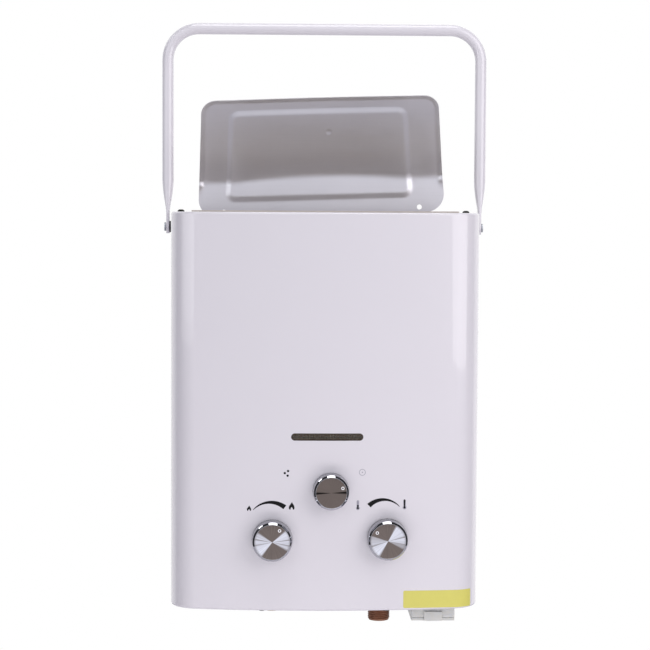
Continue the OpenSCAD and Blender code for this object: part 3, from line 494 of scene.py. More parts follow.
@dataclass(frozen=True)
class Finish:
    """One surface finish: a colour with slow mottling, and a fine relief that varies its gloss."""

    name: str
    colour: str
    metallic: float = 0.0
    roughness: float = 0.4
    ior: float = 1.5
    grain: Grain = Grain.EVEN
    grain_mm: float = 1.0
    relief_mm: float = 0.01
    gloss_spread: float = 0.04
    mottle_mm: float = 30.0
    mottle: float = 0.03
    coat: float = 0.0
    coat_roughness: float = 0.05

    def material(self) -> bpy.types.Material:
        """The finish as a material, made once and then shared.

        Returns:
            The material.
        """
        found = bpy.data.materials.get(self.name)
        if found:
            return found
        made = bpy.data.materials.new(self.name)
        made.use_nodes = True
        made.diffuse_color = linear(self.colour)
        self.shade(made.node_tree, made.node_tree.nodes["Principled BSDF"])
        return made

    def shade(self, tree: bpy.types.NodeTree, bsdf: bpy.types.Node) -> None:
        """Builds the finish's nodes.

        Args:
            tree: The material's node tree.
            bsdf: Its surface shader.
        """
        self.set_values(bsdf)
        place = add_node(tree, "ShaderNodeTexCoord").outputs["Object"]
        self.colour_nodes(tree, bsdf, place)
        self.relief_nodes(tree, bsdf, place)

    def set_values(self, bsdf: bpy.types.Node) -> None:
        """Sets what is the same all over the surface.

        Args:
            bsdf: The material's surface shader.
        """
        bsdf.inputs["Metallic"].default_value = self.metallic
        bsdf.inputs["Roughness"].default_value = self.roughness
        if not self.metallic:
            bsdf.inputs["IOR"].default_value = self.ior
        bsdf.inputs["Coat Weight"].default_value = self.coat
        bsdf.inputs["Coat Roughness"].default_value = self.coat_roughness

    def colour_nodes(
        self, tree: bpy.types.NodeTree, bsdf: bpy.types.Node, place: bpy.types.NodeSocket
    ) -> None:
        """Mottles the colour slowly between a darker and a lighter tone.

        Args:
            tree: The material's node tree.
            bsdf: Its surface shader.
            place: A point's place on the piece.
        """
        darker, lighter = linear(self.colour, 1 - self.mottle), linear(self.colour, 1 + self.mottle)
        cloud = add_node(
            tree, "ShaderNodeTexNoise",
            {"Vector": place, "Scale": 1 / (self.mottle_mm * MM), "Detail": 3.0, "Roughness": 0.5},
        )
        tone = add_node(
            tree, "ShaderNodeMix", {0: cloud.outputs[0], 6: darker, 7: lighter}, data_type="RGBA"
        )
        tree.links.new(tone.outputs[2], bsdf.inputs["Base Color"])

    def relief_nodes(
        self, tree: bpy.types.NodeTree, bsdf: bpy.types.Node, place: bpy.types.NodeSocket
    ) -> None:
        """Gives the surface its fine relief and lets its gloss follow the same pattern.

        Args:
            tree: The material's node tree.
            bsdf: Its surface shader.
            place: A point's place on the piece.
        """
        scaled = add_node(tree, "ShaderNodeMapping", {"Vector": place, "Scale": self.grain.value})
        frequency = 1 / (self.grain_mm * MM)
        fine = add_node(
            tree, "ShaderNodeTexNoise",
            {"Vector": scaled.outputs[0], "Scale": frequency, "Detail": 4.0, "Roughness": 0.55},
        )
        smoothest = max(0.02, self.roughness - self.gloss_spread)
        dullest = min(1.0, self.roughness + self.gloss_spread)
        gloss = add_node(
            tree, "ShaderNodeMapRange",
            {0: fine.outputs[0], 1: NOISE_LOW, 2: NOISE_HIGH, 3: smoothest, 4: dullest},
        )
        tree.links.new(gloss.outputs[0], bsdf.inputs["Roughness"])
        bump = add_node(
            tree, "ShaderNodeBump",
            {"Height": fine.outputs[0], "Strength": 1.0, "Distance": self.relief_mm * MM},
        )
        tree.links.new(bump.outputs[0], bsdf.inputs["Normal"])


@dataclass(frozen=True)
class SpunFace(Finish):
    """A face turned on a lathe, whose scratches run round; its shine is painted into its colour as two
    fans, a painted highlight of the lamps, cut by painted dark lines.

    The face's own UV map holds the angle in U, as a share of a turn, and the radius in V. A stop of the
    painted reflection is an angle in degrees and how far the tone there goes from the dull one to the
    painted highlight. Between two shares of the rim's radius, fade, the painted fans weaken to fade_to.
    """

    anisotropy: float = 0.5
    # The colour of the painted highlight; on the season face, of the painted dark reflection.
    bright: str = "F0F2F9"
    rim_mm: float = 18.2
    fade: Flat = (0.80, 0.93)
    fade_to: float = 0.35
    scratches: float = 60.0
    # Stops of the painted reflection by angle: painted highlight fans and painted dark lines.
    fans: tuple[Flat, ...] = ()

    def shade(self, tree: bpy.types.NodeTree, bsdf: bpy.types.Node) -> None:
        """Builds the finish's nodes: painted reflection fans by angle, rings by radius.

        Args:
            tree: The material's node tree.
            bsdf: Its surface shader.
        """
        self.set_values(bsdf)
        bsdf.inputs["Anisotropic"].default_value = self.anisotropy
        own = add_node(tree, "ShaderNodeUVMap", uv_map="spin")
        tangent = add_node(tree, "ShaderNodeTangent", direction_type="UV_MAP", uv_map="spin")
        tree.links.new(tangent.outputs[0], bsdf.inputs["Tangent"])
        parts = add_node(tree, "ShaderNodeSeparateXYZ", {0: own.outputs[0]})
        turn = add_node(tree, "ShaderNodeMath", {0: parts.outputs[0]}, operation="FRACT")
        # The painted highlight fans and painted dark reflection lines, read by angle round the face.
        fan = add_node(tree, "ShaderNodeValToRGB", {0: turn.outputs[0]})
        stops = fan.color_ramp.elements
        for number, (degrees, level) in enumerate(self.fans):
            stop = stops[number] if number < 2 else stops.new(degrees / 360)
            stop.position, stop.color = degrees / 360, (level, level, level, 1)
        fade_start, fade_end = (self.rim_mm * share for share in self.fade)
        edge = add_node(
            tree, "ShaderNodeMapRange",
            {0: parts.outputs[1], 1: fade_start, 2: fade_end, 3: 1.0, 4: self.fade_to},
        )
        share = add_node(
            tree, "ShaderNodeMath", {0: fan.outputs[0], 1: edge.outputs[0]}, operation="MULTIPLY"
        )
        lines = add_node(
            tree, "ShaderNodeTexNoise",
            {"W": parts.outputs[0], "Scale": self.scratches, "Detail": 3.0, "Roughness": 0.6},
            noise_dimensions="1D",
        )
        level = add_node(
            tree, "ShaderNodeMapRange",
            {0: lines.outputs[0], 1: NOISE_LOW, 2: NOISE_HIGH, 3: 1 - self.mottle, 4: 1 + self.mottle},
        )
        tone = add_node(
            tree, "ShaderNodeMix", {0: share.outputs[0], 6: linear(self.colour), 7: linear(self.bright)},
            data_type="RGBA",
        )
        shown = add_node(
            tree, "ShaderNodeVectorMath", {0: tone.outputs[2], "Scale": level.outputs[0]},
            operation="SCALE",
        )
        tree.links.new(shown.outputs[0], bsdf.inputs["Base Color"])
        rings = add_node(
            tree, "ShaderNodeTexNoise",
            {"W": parts.outputs[1], "Scale": 1 / self.grain_mm, "Detail": 2.0}, noise_dimensions="1D",
        )
        bump = add_node(
            tree, "ShaderNodeBump", {"Height": rings.outputs[0], "Distance": self.relief_mm * MM}
        )
        tree.links.new(bump.outputs[0], bsdf.inputs["Normal"])


@dataclass(frozen=True)
class ClearFinish(Finish):
    """A material that light passes through: glass, or a milky moulding that scatters it."""

    transmission: float = 0.0
    scatter: float = 0.0
    scatter_mm: float = 2.0
    scatter_reach: Point = (1.0, 0.9, 0.7)

    def set_values(self, bsdf: bpy.types.Node) -> None:
        """Sets what is the same all over the surface.

        Args:
            bsdf: The material's surface shader.
        """
        super().set_values(bsdf)
        bsdf.inputs["Transmission Weight"].default_value = self.transmission
        bsdf.inputs["Subsurface Weight"].default_value = self.scatter
        bsdf.inputs["Subsurface Radius"].default_value = self.scatter_reach
        bsdf.inputs["Subsurface Scale"].default_value = self.scatter_mm * MM


# Polyester powder coat, baked on steel: a clean glossy white with a faint orange-peel ripple.
POWDER_COAT = Finish(
    "gloss_white_polyester_powder_coat", "DEDBE1", roughness=0.22, grain_mm=3.5, relief_mm=0.0016,
    gloss_spread=0.03, mottle_mm=60, mottle=0.008, coat=1.0, coat_roughness=0.03,
)
# Ferritic stainless sheet, cold rolled: grey and satin, with a fine grain along the sheet's length.
ROLLED_STAINLESS = Finish(
    "cold_rolled_stainless_430", "D1D0D4", metallic=1.0, roughness=0.41, grain=Grain.ALONG_X,
    grain_mm=1.3, relief_mm=0.007, gloss_spread=0.07, mottle_mm=45, mottle=0.05,
)
# Zinc plating, blue passivated: bright, slightly uneven grey on small turned and pressed steel.
ZINC_PLATE = Finish(
    "zinc_plated_mild_steel", "B9BCC2", metallic=1.0, roughness=0.30, grain_mm=0.8, relief_mm=0.004,
    mottle_mm=6, mottle=0.08,
)
# Galvanised sheet over a hot flue: the zinc has gone warm grey and dull.
PASSIVATED_STEEL = Finish(
    "heat_dulled_galvanised_sheet", "C6BEB6", metallic=0.3, roughness=0.50, grain_mm=1.2,
    relief_mm=0.006, mottle_mm=12, mottle=0.10,
)
# Black zinc on screws: near black, with a dull metal shine on the rounded head.
BLACK_ZINC = Finish(
    "black_zinc_plated_screw", "2A2926", metallic=0.8, roughness=0.36, grain_mm=0.5, relief_mm=0.004,
    mottle_mm=3, mottle=0.15,
)
# Polished nickel-chrome: a dark mirror that shows the lamps as hard white patches.
POLISHED_CHROME = Finish(
    "polished_chrome_plate", "C9C9CE", metallic=1.0, roughness=0.06, grain_mm=3, relief_mm=0.0015,
    gloss_spread=0.02, mottle=0.02,
)
# Chrome on the drawn side of the cap: a softer mirror, drawn out along the wall.
DRAWN_CHROME = Finish(
    "drawn_chrome_plate", "A9AAB0", metallic=1.0, roughness=0.17, grain_mm=1.4, relief_mm=0.003,
    gloss_spread=0.04, mottle=0.04,
)
# Aluminium spun on a lathe: brown-grey, its dull tone darkened further as a painted reflection of a dark
# room in front, with a painted highlight fan to each side where its round scratches would throw the
# lamps back.
FLAME_FACE = SpunFace(
    "lathe_spun_smoked_aluminium", "7A706A", metallic=1.0, roughness=0.34, grain_mm=0.35,
    relief_mm=0.003, mottle=0.12,
    fans=(
        (0, 0.85), (5, 0.9), (7, 0.3), (9, 0.3), (12, 0.9), (36, 1.0), (44, 0), (143, 0), (151, 0.75),
        (167, 0.8), (169, 0.25), (171, 0.3), (174, 0.8), (187, 0.85), (189, 0.3), (191, 0.3), (194, 0.9),
        (228, 1.0), (236, 0), (328, 0), (336, 0.7), (345, 0.8), (347, 0.3), (349, 0.3), (352, 0.85),
        (360, 0.85),
    ),
)
# The same face on another knob: its painted highlight fans are wider on one diagonal.
WATER_FACE = replace(
    FLAME_FACE,
    name="lathe_spun_smoked_aluminium_turned",
    fans=(
        (0, 0.85), (12, 0.9), (14, 0.3), (16, 0.3), (19, 0.9), (58, 1.0), (66, 0), (160, 0), (166, 0.5),
        (195, 0.75), (197, 0.3), (199, 0.3), (202, 0.9), (236, 1.0), (244, 0), (330, 0), (335, 0.35),
        (340, 0.4), (347, 0.45), (349, 0.2), (352, 0.8), (360, 0.85),
    ),
)
# The same metal spun with a finer feed: dark all over, darkened as a painted reflection, with a black
# line straight across that is a painted dark reflection. Its painted fans keep their strength, because
# the rim that they fade towards lies outside the face.
SEASON_FACE = SpunFace(
    "fine_spun_smoked_aluminium", "726862", metallic=1.0, roughness=0.30, grain_mm=0.3,
    relief_mm=0.003, mottle=0.05, bright="0A0A0A", rim_mm=30,
    fans=(
        (0, 0.9), (4, 1.0), (9, 0.0), (90, 0), (174, 0.0), (180, 0.9), (184, 1.0), (188, 0.0), (270, 0),
        (354, 0), (360, 0.9),
    ),
)
# Turned brass: warm yellow with fine rings and slight tarnish.
BRASS = Finish(
    "turned_brass_cz121", "B8975A", metallic=1.0, roughness=0.28, grain_mm=0.7, relief_mm=0.005,
    mottle_mm=8, mottle=0.10,
)
# Brass browned by pickling: a dull chestnut stub with a little metal shine left on its crests.
BROWNED_BRASS = Finish(
    "browned_pickled_brass", "9C7058", metallic=0.55, roughness=0.46, grain_mm=0.6, relief_mm=0.02,
    mottle_mm=5, mottle=0.22,
)
# Bare copper sheet and tube: salmon red, dulled and cloudy from brazing.
COPPER = Finish(
    "brazed_bare_copper", "B06B4C", metallic=1.0, roughness=0.34, grain_mm=1.2, relief_mm=0.006,
    mottle_mm=14, mottle=0.20,
)
# Die-cast aluminium: pale grey with the fine sandy skin of the mould.
DIE_CAST = Finish(
    "die_cast_aluminium", "A9ABAD", metallic=0.9, roughness=0.48, grain_mm=0.5, relief_mm=0.02,
    mottle_mm=12, mottle=0.06,
)
# ABS, injection moulded: deep black with the mould's fine spark texture.
BLACK_ABS = Finish(
    "moulded_black_abs", "16161A", roughness=0.45, grain_mm=0.35, relief_mm=0.010, mottle=0.10
)
# Polypropylene, moulded without colour: milky and waxy, light soaks into its edges.
MILKY_PP = ClearFinish(
    "moulded_natural_polypropylene", "D3D4D0", roughness=0.36, ior=1.49, grain_mm=1.2, relief_mm=0.008,
    mottle_mm=9, mottle=0.03, scatter=0.35, scatter_mm=3.0,
)
# Nitrile rubber, moulded: flat black.
RUBBER = Finish(
    "moulded_nitrile_rubber", "141414", roughness=0.7, ior=1.52, grain_mm=0.5, relief_mm=0.01
)
# Borosilicate glass, drawn: clear, with a faint straw tint from the heat.
HEAT_GLASS = ClearFinish(
    "heat_proof_borosilicate_glass", "CFC3A4", roughness=0.08, ior=1.47, grain_mm=4, relief_mm=0.002,
    transmission=0.85,
)
# Alumina, fired and glazed: creamy and hard.
CERAMIC = Finish(
    "glazed_alumina_ceramic", "E4DECF", roughness=0.25, ior=1.6, grain_mm=0.8, relief_mm=0.004
)
# Shrink sleeve on the cells: deep blue, glossy and tight.
CELL_JACKET = Finish(
    "pvc_shrink_sleeve", "20304F", roughness=0.25, ior=1.53, grain_mm=2.0, relief_mm=0.006
)
# Silicone lead insulation, extruded: dull red and soft.
LEAD = Finish(
    "silicone_lead_insulation", "8A231C", roughness=0.5, ior=1.41, grain_mm=0.5, relief_mm=0.006
)
# Woven stainless gauze, heat tinted: brown-black wires.
GAUZE_WIRE = Finish(
    "heat_tinted_stainless_wire", "5A514C", metallic=1.0, roughness=0.38, grain_mm=0.4, relief_mm=0.003,
    mottle_mm=3, mottle=0.25,
)
# Pad-printing ink on paint: dense black with a low sheen.
BLACK_INK = Finish(
    "pad_printing_ink_black", "070708", roughness=0.5, ior=1.3, grain_mm=0.25, relief_mm=0.003
)
# The same ink in grey, laid thin.
GREY_INK = Finish("pad_printing_ink_grey", "9A98A4", roughness=0.42, grain_mm=0.25, relief_mm=0.003)
# White ink in the knobs' marks.
WHITE_INK = Finish("pad_printing_ink_white", "F2F2F4", roughness=0.4, grain_mm=0.25, relief_mm=0.003)
# Self-adhesive vinyl: flat yellow-green with a soft satin shine and a slightly uneven lay.
STICKER_VINYL = Finish(
    "yellow_sticker_vinyl", "D6D06B", roughness=0.38, ior=1.53, grain_mm=3.0, relief_mm=0.008,
    mottle_mm=9, mottle=0.035,
)


def fit(
    obj: Piece,
    finishes: Union[Finish, Sequence[Finish]],
    slot: str,
    body: str = CASE_BODY,
    replaces: Sequence[str] = (),
) -> Piece:
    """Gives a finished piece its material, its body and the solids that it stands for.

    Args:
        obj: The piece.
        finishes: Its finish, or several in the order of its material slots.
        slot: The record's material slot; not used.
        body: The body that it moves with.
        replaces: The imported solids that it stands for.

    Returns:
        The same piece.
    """
    finishes = [finishes] if isinstance(finishes, Finish) else list(finishes)
    obj.data.materials.clear()
    for finish in finishes:
        obj.data.materials.append(finish.material())
    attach(obj, body)
    if replaces:
        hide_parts(*replaces)
    return obj


# ---- Case -----------------------------------------------------------------------------------


@dataclass(frozen=True)
class CasePlan:
    """The case seen from above: a bowed front, two round corners and straight sides."""

    half_w: float = 144.5
    depth: float = 130.0
    bow_r: float = 750.0
    corner_r: float = 28.0
    back: float = -1.2
    height: float = 370.0
    side_steps: int = 6
    corner_steps: int = 14
    front_steps: int = 44

    @property
    def bow_y(self) -> float:
        """Where the front bow's centre lies."""
        return self.bow_r - self.depth

    @property
    def corner(self) -> Flat:
        """Centre of the right front corner."""
        x = self.half_w - self.corner_r
        return x, self.bow_y - math.sqrt((self.bow_r - self.corner_r) ** 2 - x * x)

    @property
    def bow_angle(self) -> float:
        """Half the angle of the front bow, in radians."""
        return math.asin(self.corner[0] / (self.bow_r - self.corner_r))

    def front_y(self, x: float) -> float:
        """Where the bowed front's skin lies in Y, at a sideways place."""
        return self.bow_y - math.sqrt(self.bow_r**2 - x * x)

    def outline(self, inset: float) -> list[Flat]:
        """Points round the case, from the right side's back edge to the left one's.

        Args:
            inset: How far the line is drawn in.

        Returns:
            The points.
        """
        run = self.corner[1] - self.back
        side = [
            (self.half_w - inset, self.back + run * i / self.side_steps) for i in range(self.side_steps)
        ]
        turn = self.bow_angle - math.pi / 2
        corner = arc(self.corner, self.corner_r - inset, 0, turn, self.corner_steps)[:-1]
        angles = (self.bow_angle * (1 - 2 * i / self.front_steps) for i in range(self.front_steps + 1))
        r = self.bow_r - inset
        front = [(r * math.sin(a), self.bow_y - r * math.cos(a)) for a in angles]
        half = side + corner
        return half + front + [(-x, y) for x, y in reversed(half)]

    def skin(self, along: float, off: float) -> Flat:
        """A point on the skin, or just off it.

        Args:
            along: Distance along the skin to the right of its middle.
            off: Distance off the skin.

        Returns:
            The point's X and Y.
        """
        length = self.bow_r * self.bow_angle
        if along <= length:
            a, r, centre = along / self.bow_r, self.bow_r, (0.0, self.bow_y)
        else:
            a = self.bow_angle + (along - length) / self.corner_r
            r, centre = self.corner_r, self.corner
        return centre[0] + (r + off) * math.sin(a), centre[1] - (r + off) * math.cos(a)


PLAN = CasePlan()


@dataclass(frozen=True)
class ScrewSpot:
    """Where a cover screw sits on a rim, on each side, and how high its head stands."""

    place: Point
    head_h: float


SCREW_SPOTS = (
    ScrewSpot((138.2, -31.0, PLAN.height), 2.3),
    ScrewSpot((138.2, -20.0, 0.0), 2.3),
    ScrewSpot((58.25, -121.2, 0.0), 1.1),
)


def pivot_cutter() -> Piece:
    """The bar that bores the handle's two pivot holes."""
    start, length = PIVOT_BORE
    return pin("pivot_cutter", (start, *HANDLE_PIVOT), Axis.RIGHT, PIVOT_HOLE_R, length)


@dataclass
class CaseShell:
    """The white front cover: one sheet with rolled rims, a viewing slot and its small holes."""

    sheet: float = 1.0
    rim: float = 13.0
    roll_r: float = 2.4
    wall_step: int = 20
    edge_bevel: float = 0.4
    slot: Flat = (66.8, 6.8)
    slot_cut: Flat = (-150.0, -100.0)
    shaft_hole_r: float = 4.5
    shaft_cut: Flat = (-110.0, 40.0)
    screw_hole_r: float = 1.65
    screw_cut: float = 8.0

    def profile(self) -> list[Flat]:
        """Inset and height of the sheet's skin, from the lower rim round to the upper one.

        Returns:
            The points.
        """
        r, top = self.roll_r, PLAN.height
        roll = arc((r, r), r, -math.pi / 2, -math.pi, 6)
        walls = [(0.0, z) for z in range(self.wall_step, int(top), self.wall_step)]
        upper = [(inset, top - z) for inset, z in reversed(roll)]
        return [(self.rim, 0.0)] + roll + walls + upper + [(self.rim, top)]

    def build(self) -> list[Piece]:
        """Builds the shell and takes out its slot and holes.

        Returns:
            The finished pieces.
        """
        rows = [[(x, y, z) for x, y in PLAN.outline(inset)] for inset, z in self.profile()]
        shell = loft("front_cover_shell", rows, closed=False)
        facing(shell, (0, -PLAN.depth, PLAN.height / 2), (0, -1, 0))
        applied(shell, "SOLIDIFY", thickness=self.sheet * MM, offset=-1.0, use_even_offset=True)
        cut(shell, self.cutters())
        bevelled(shell, self.edge_bevel, degrees=55, segments=3)
        evened(smooth(shell, 30))
        return [fit(shell, POWDER_COAT, "white_paint", replaces=["front_cover"])]

    def cutters(self) -> list[Piece]:
        """The shapes that come out of the sheet.

        Returns:
            The cutters.
        """
        r = self.slot[1] / 2
        reach = self.slot[0] / 2 - r
        right = arc((WINDOW[0] + reach, WINDOW[1]), r, -math.pi / 2, math.pi / 2, 12)
        left = arc((WINDOW[0] - reach, WINDOW[1]), r, math.pi / 2, math.pi * 1.5, 12)
        rows = [[(x, y, z) for x, z in right + left] for y in self.slot_cut]
        cutters = [loft("window_cutter", rows, ends=(True, True))]
        start, depth = self.shaft_cut
        for x, z in (FLAME_KNOB, WATER_KNOB, SEASON_KNOB):
            cutters.append(pin("shaft_cutter", (x, start, z), Axis.FRONT, self.shaft_hole_r, depth))
        cutters.append(pivot_cutter())
        for side in (-1, 1):
            for spot in SCREW_SPOTS:
                x, y, z = spot.place
                place = (side * x, y, z - self.screw_cut / 2)
                cutters.append(
                    pin("screw_cutter", place, Axis.UP, self.screw_hole_r, self.screw_cut, 20)
                )
        return cutters


@dataclass
class WindowGauze:
    """Woven wire behind the viewing slot, in front of its glass."""

    size: Flat = (72.0, 12.0)
    y: float = -127.5
    pitch: float = 1.5
    wire_r: float = 0.24
    weave: float = 0.9
    sides: int = 5

    def build(self) -> list[Piece]:
        """Builds the crossing wires, each woven over and under.

        Returns:
            The finished pieces.
        """
        strands: list[Piece] = []
        width, height = self.size
        for length, span, upright in ((width, height, False), (height, width, True)):
            model = self.strand(length, upright)
            count = int(span / self.pitch)
            for i in range(count):
                shift = (i - (count - 1) / 2) * self.pitch
                strands.append(self.copy_at(model, shift, upright, i % 2 == 1))
            bpy.data.objects.remove(model)
        gauze = smooth(joined("window_gauze", strands), 60)
        return [fit(gauze, GAUZE_WIRE, "zinc_steel", replaces=["window_mesh"])]

    def strand(self, length: float, upright: bool) -> Piece:
        """One wire, waved in and out at every crossing.

        Args:
            length: The wire's length.
            upright: Whether it runs up instead of across.

        Returns:
            The wire, with its middle at the origin.
        """
        steps = int(length / self.pitch * 2)
        phase = 0 if upright else math.pi
        rows = []
        for i in range(steps + 1):
            along = -length / 2 + length * i / steps
            wave = self.wire_r * self.weave * math.cos(math.pi * along / self.pitch + phase)
            ring = arc((0.0, wave), self.wire_r, 0, math.tau, self.sides)[:-1]
            rows.append(
                [(side, out, along) if upright else (along, out, side) for side, out in ring]
            )
        return loft("gauze_strand", rows, ends=(True, True))

    def copy_at(self, model: Piece, shift: float, upright: bool, swapped: bool) -> Piece:
        """Copies a wire to its place in the weave.

        Args:
            model: The wire.
            shift: Its distance from the window's middle.
            upright: Whether it runs up instead of across.
            swapped: Whether it passes the other wires on their other side.

        Returns:
            The copy.
        """
        copy = duplicate(model, "gauze_strand")
        move = Vector((WINDOW[0], self.y, WINDOW[1]))
        move += Vector((shift, 0, 0)) if upright else Vector((0, 0, shift))
        flip = -1.0 if swapped else 1.0
        for vert in copy.data.vertices:
            vert.co = Vector((vert.co.x, vert.co.y * flip, vert.co.z)) + move * MM
        return tidy_mesh(copy) if swapped else copy


@dataclass
class PrintedMarks:
    """The scales and signs printed on the cover beside its knobs."""

    lift: float = 0.05
    ink: float = 0.04
    scale_widths: Flat = (0.5, 4.6)
    scales: tuple[tuple[str, Flat, Flat, Flat], ...] = (
        ("flame_scale", (-66.6, 94.4), (-50.4, 101.7), (-37.3, 97.2)),
        ("water_scale", (69.2, 97.6), (54.2, 104.3), (40.7, 98.8)),
    )
    flames: tuple[tuple[str, Flat, Flat], ...] = (
        ("small_flame_sign", (-70.4, 95.9), (4.0, 5.2)),
        ("large_flame_sign", (-30.9, 98.6), (5.4, 7.5)),
    )
    season_ring: Flat = (34.4, 129.9)
    ring_r: Flat = (3.1, 2.6)
    core_r: float = 0.6
    dot_r: float = 1.1
    season_dots: tuple[Flat, ...] = ((-34.4, 131.0), (-37.4, 129.1), (-34.8, 126.7))
    thermometers: tuple[tuple[str, Flat, float, float], ...] = (
        ("cool_sign", (30.4, 99.3), 9.2, 0.5),
        ("warm_sign", (73.9, 99.6), 9.4, 1.0),
    )

    def build(self) -> list[Piece]:
        """Builds all marks.

        Returns:
            The finished pieces.
        """
        pieces = [self.band(*scale) for scale in self.scales]
        pieces += [self.flame(*sign) for sign in self.flames]
        pieces.append(self.ring("season_ring_sign", self.season_ring, *self.ring_r, GREY_INK))
        pieces.append(self.ring("season_ring_core", self.season_ring, self.core_r, 0.0, GREY_INK))
        for number, spot in enumerate(self.season_dots, 1):
            pieces.append(self.ring(f"season_dot_{number}", spot, self.dot_r, 0.0, BLACK_INK))
        for sign in self.thermometers:
            pieces += self.thermometer(*sign)
        return pieces

    def on_front(self, x: float, z: float, lift: float = 0.0) -> Point:
        """A point on the printed skin."""
        return x, PLAN.front_y(x) - self.lift - lift, z

    def band(self, name: str, thin: Flat, apex: Flat, thick: Flat) -> Piece:
        """A scale: an arc through three points that swells from its thin end to its thick one.

        Args:
            name: The piece's name.
            thin: The thin end's middle.
            apex: A point on the arc between the ends.
            thick: The thick end's middle.

        Returns:
            The mark.
        """
        # The middle of the circle through the three points.
        (ax, az), (bx, bz), (cx, cz) = thin, apex, thick
        d = 2 * (ax * (bz - cz) + bx * (cz - az) + cx * (az - bz))
        sa, sb, sc = ax * ax + az * az, bx * bx + bz * bz, cx * cx + cz * cz
        mx = (sa * (bz - cz) + sb * (cz - az) + sc * (az - bz)) / d
        mz = (sa * (cx - bx) + sb * (ax - cx) + sc * (bx - ax)) / d
        radius = math.hypot(ax - mx, az - mz)
        start, end = math.atan2(az - mz, ax - mx), math.atan2(cz - mz, cx - mx)
        narrow, wide = self.scale_widths

        def shape(u: float, v: float) -> Point:
            """A point of the arc at a share along it and across it."""
            a = start + (end - start) * u
            r = radius + (v - 0.5) * (narrow + (wide - narrow) * u)
            return self.on_front(mx + r * math.cos(a), mz + r * math.sin(a))

        return self.printed(grid(name, 40, 4, shape), BLACK_INK)

    def outline(self, name: str, points: Sequence[Flat], ink: Finish, lift: float = 0.0) -> Piece:
        """A small filled sign from its outline.

        Args:
            name: The mark's name.
            points: Its outline, as X and Z on the front.
            ink: Its ink.
            lift: How far it lies above the other marks.

        Returns:
            The mark.
        """
        middle = (sum(x for x, _ in points) / len(points), sum(z for _, z in points) / len(points))
        deselect()
        bpy.ops.mesh.primitive_circle_add(vertices=len(points), radius=MM, fill_type="NGON")
        obj = named(bpy.context.object, name)
        for vert, (x, z) in zip(obj.data.vertices, points):
            vert.co = Vector(self.on_front(x, z, lift)) * MM
        obj.data.update()
        facing(obj, self.on_front(*middle), (0, -1, 0))
        return self.printed(obj, ink)

    def ring(self, name: str, centre: Flat, outer: float, inner: float, ink: Finish) -> Piece:
        """A ring, or a dot if its inner radius is 0.

        Args:
            name: The mark's name.
            centre: Its middle.
            outer: Its outer radius.
            inner: Its inner radius.
            ink: Its ink.

        Returns:
            The mark.
        """

        def shape(u: float, v: float) -> Point:
            """A point of the ring at a share round it and outwards."""
            a, r = math.tau * u, inner + (outer - inner) * v
            return self.on_front(centre[0] + r * math.cos(a), centre[1] + r * math.sin(a))

        return self.printed(tidy_mesh(grid(name, 28, 1, shape)), ink)

    def printed(self, obj: Piece, ink: Finish) -> Piece:
        """Gives a mark its thin body of ink.

        Args:
            obj: The mark, one face thick.
            ink: Its ink.

        Returns:
            The same mark.
        """
        centre = sum((v.co for v in obj.data.vertices), Vector()) / len(obj.data.vertices)
        facing(obj, tuple(centre / MM), (0, -1, 0))
        applied(obj, "SOLIDIFY", thickness=self.ink * MM, offset=-1.0)
        return fit(smooth(obj, 40), ink, "black_steel")

    def flame(self, name: str, centre: Flat, size: Flat) -> Piece:
        """A flame sign with a notch at its foot.

        Args:
            name: The mark's name.
            centre: Its middle.
            size: Its width and height.

        Returns:
            The mark.
        """
        shape = [
            (0.05, 0.5), (0.17, 0.28), (0.36, 0.12), (0.45, -0.06), (0.5, -0.26), (0.44, -0.42),
            (0.22, -0.5), (0.20, -0.36), (0.10, -0.24), (0.0, -0.12), (-0.10, -0.24), (-0.20, -0.36),
            (-0.22, -0.5), (-0.44, -0.42), (-0.5, -0.26), (-0.45, -0.04), (-0.33, 0.08), (-0.15, 0.26),
        ]
        points = [(centre[0] + x * size[0], centre[1] + z * size[1]) for x, z in shape]
        return self.outline(name, points, BLACK_INK)

    def thermometer(self, name: str, centre: Flat, height: float, filled: float) -> list[Piece]:
        """A thermometer sign: a grey glass with a bulb, filled black up to a share.

        Args:
            name: The pieces' common name.
            centre: The sign's middle.
            height: Its height.
            filled: How far up it is filled.

        Returns:
            The glass and its filling.
        """
        x, foot = centre[0], centre[1] - height / 2
        wall, shoulder = 0.8, 0.9

        def capsule(r: float, bulb: float, low: float, high: float) -> list[Flat]:
            """An upright capsule with a wider round foot, between two heights."""
            top = arc((x, foot + high - r), r, 0, math.pi, 8)
            round_foot = arc((x, foot + low + bulb), bulb, math.pi - shoulder, math.tau + shoulder, 12)
            return top + round_foot

        glass = self.outline(f"{name}_glass", capsule(1.15, 1.75, 0.0, height), GREY_INK)
        level = wall + (height - wall) * filled
        filling = self.outline(
            f"{name}_filling", capsule(0.85, 0.95, wall, level), BLACK_INK, self.lift
        )
        return [glass, filling]


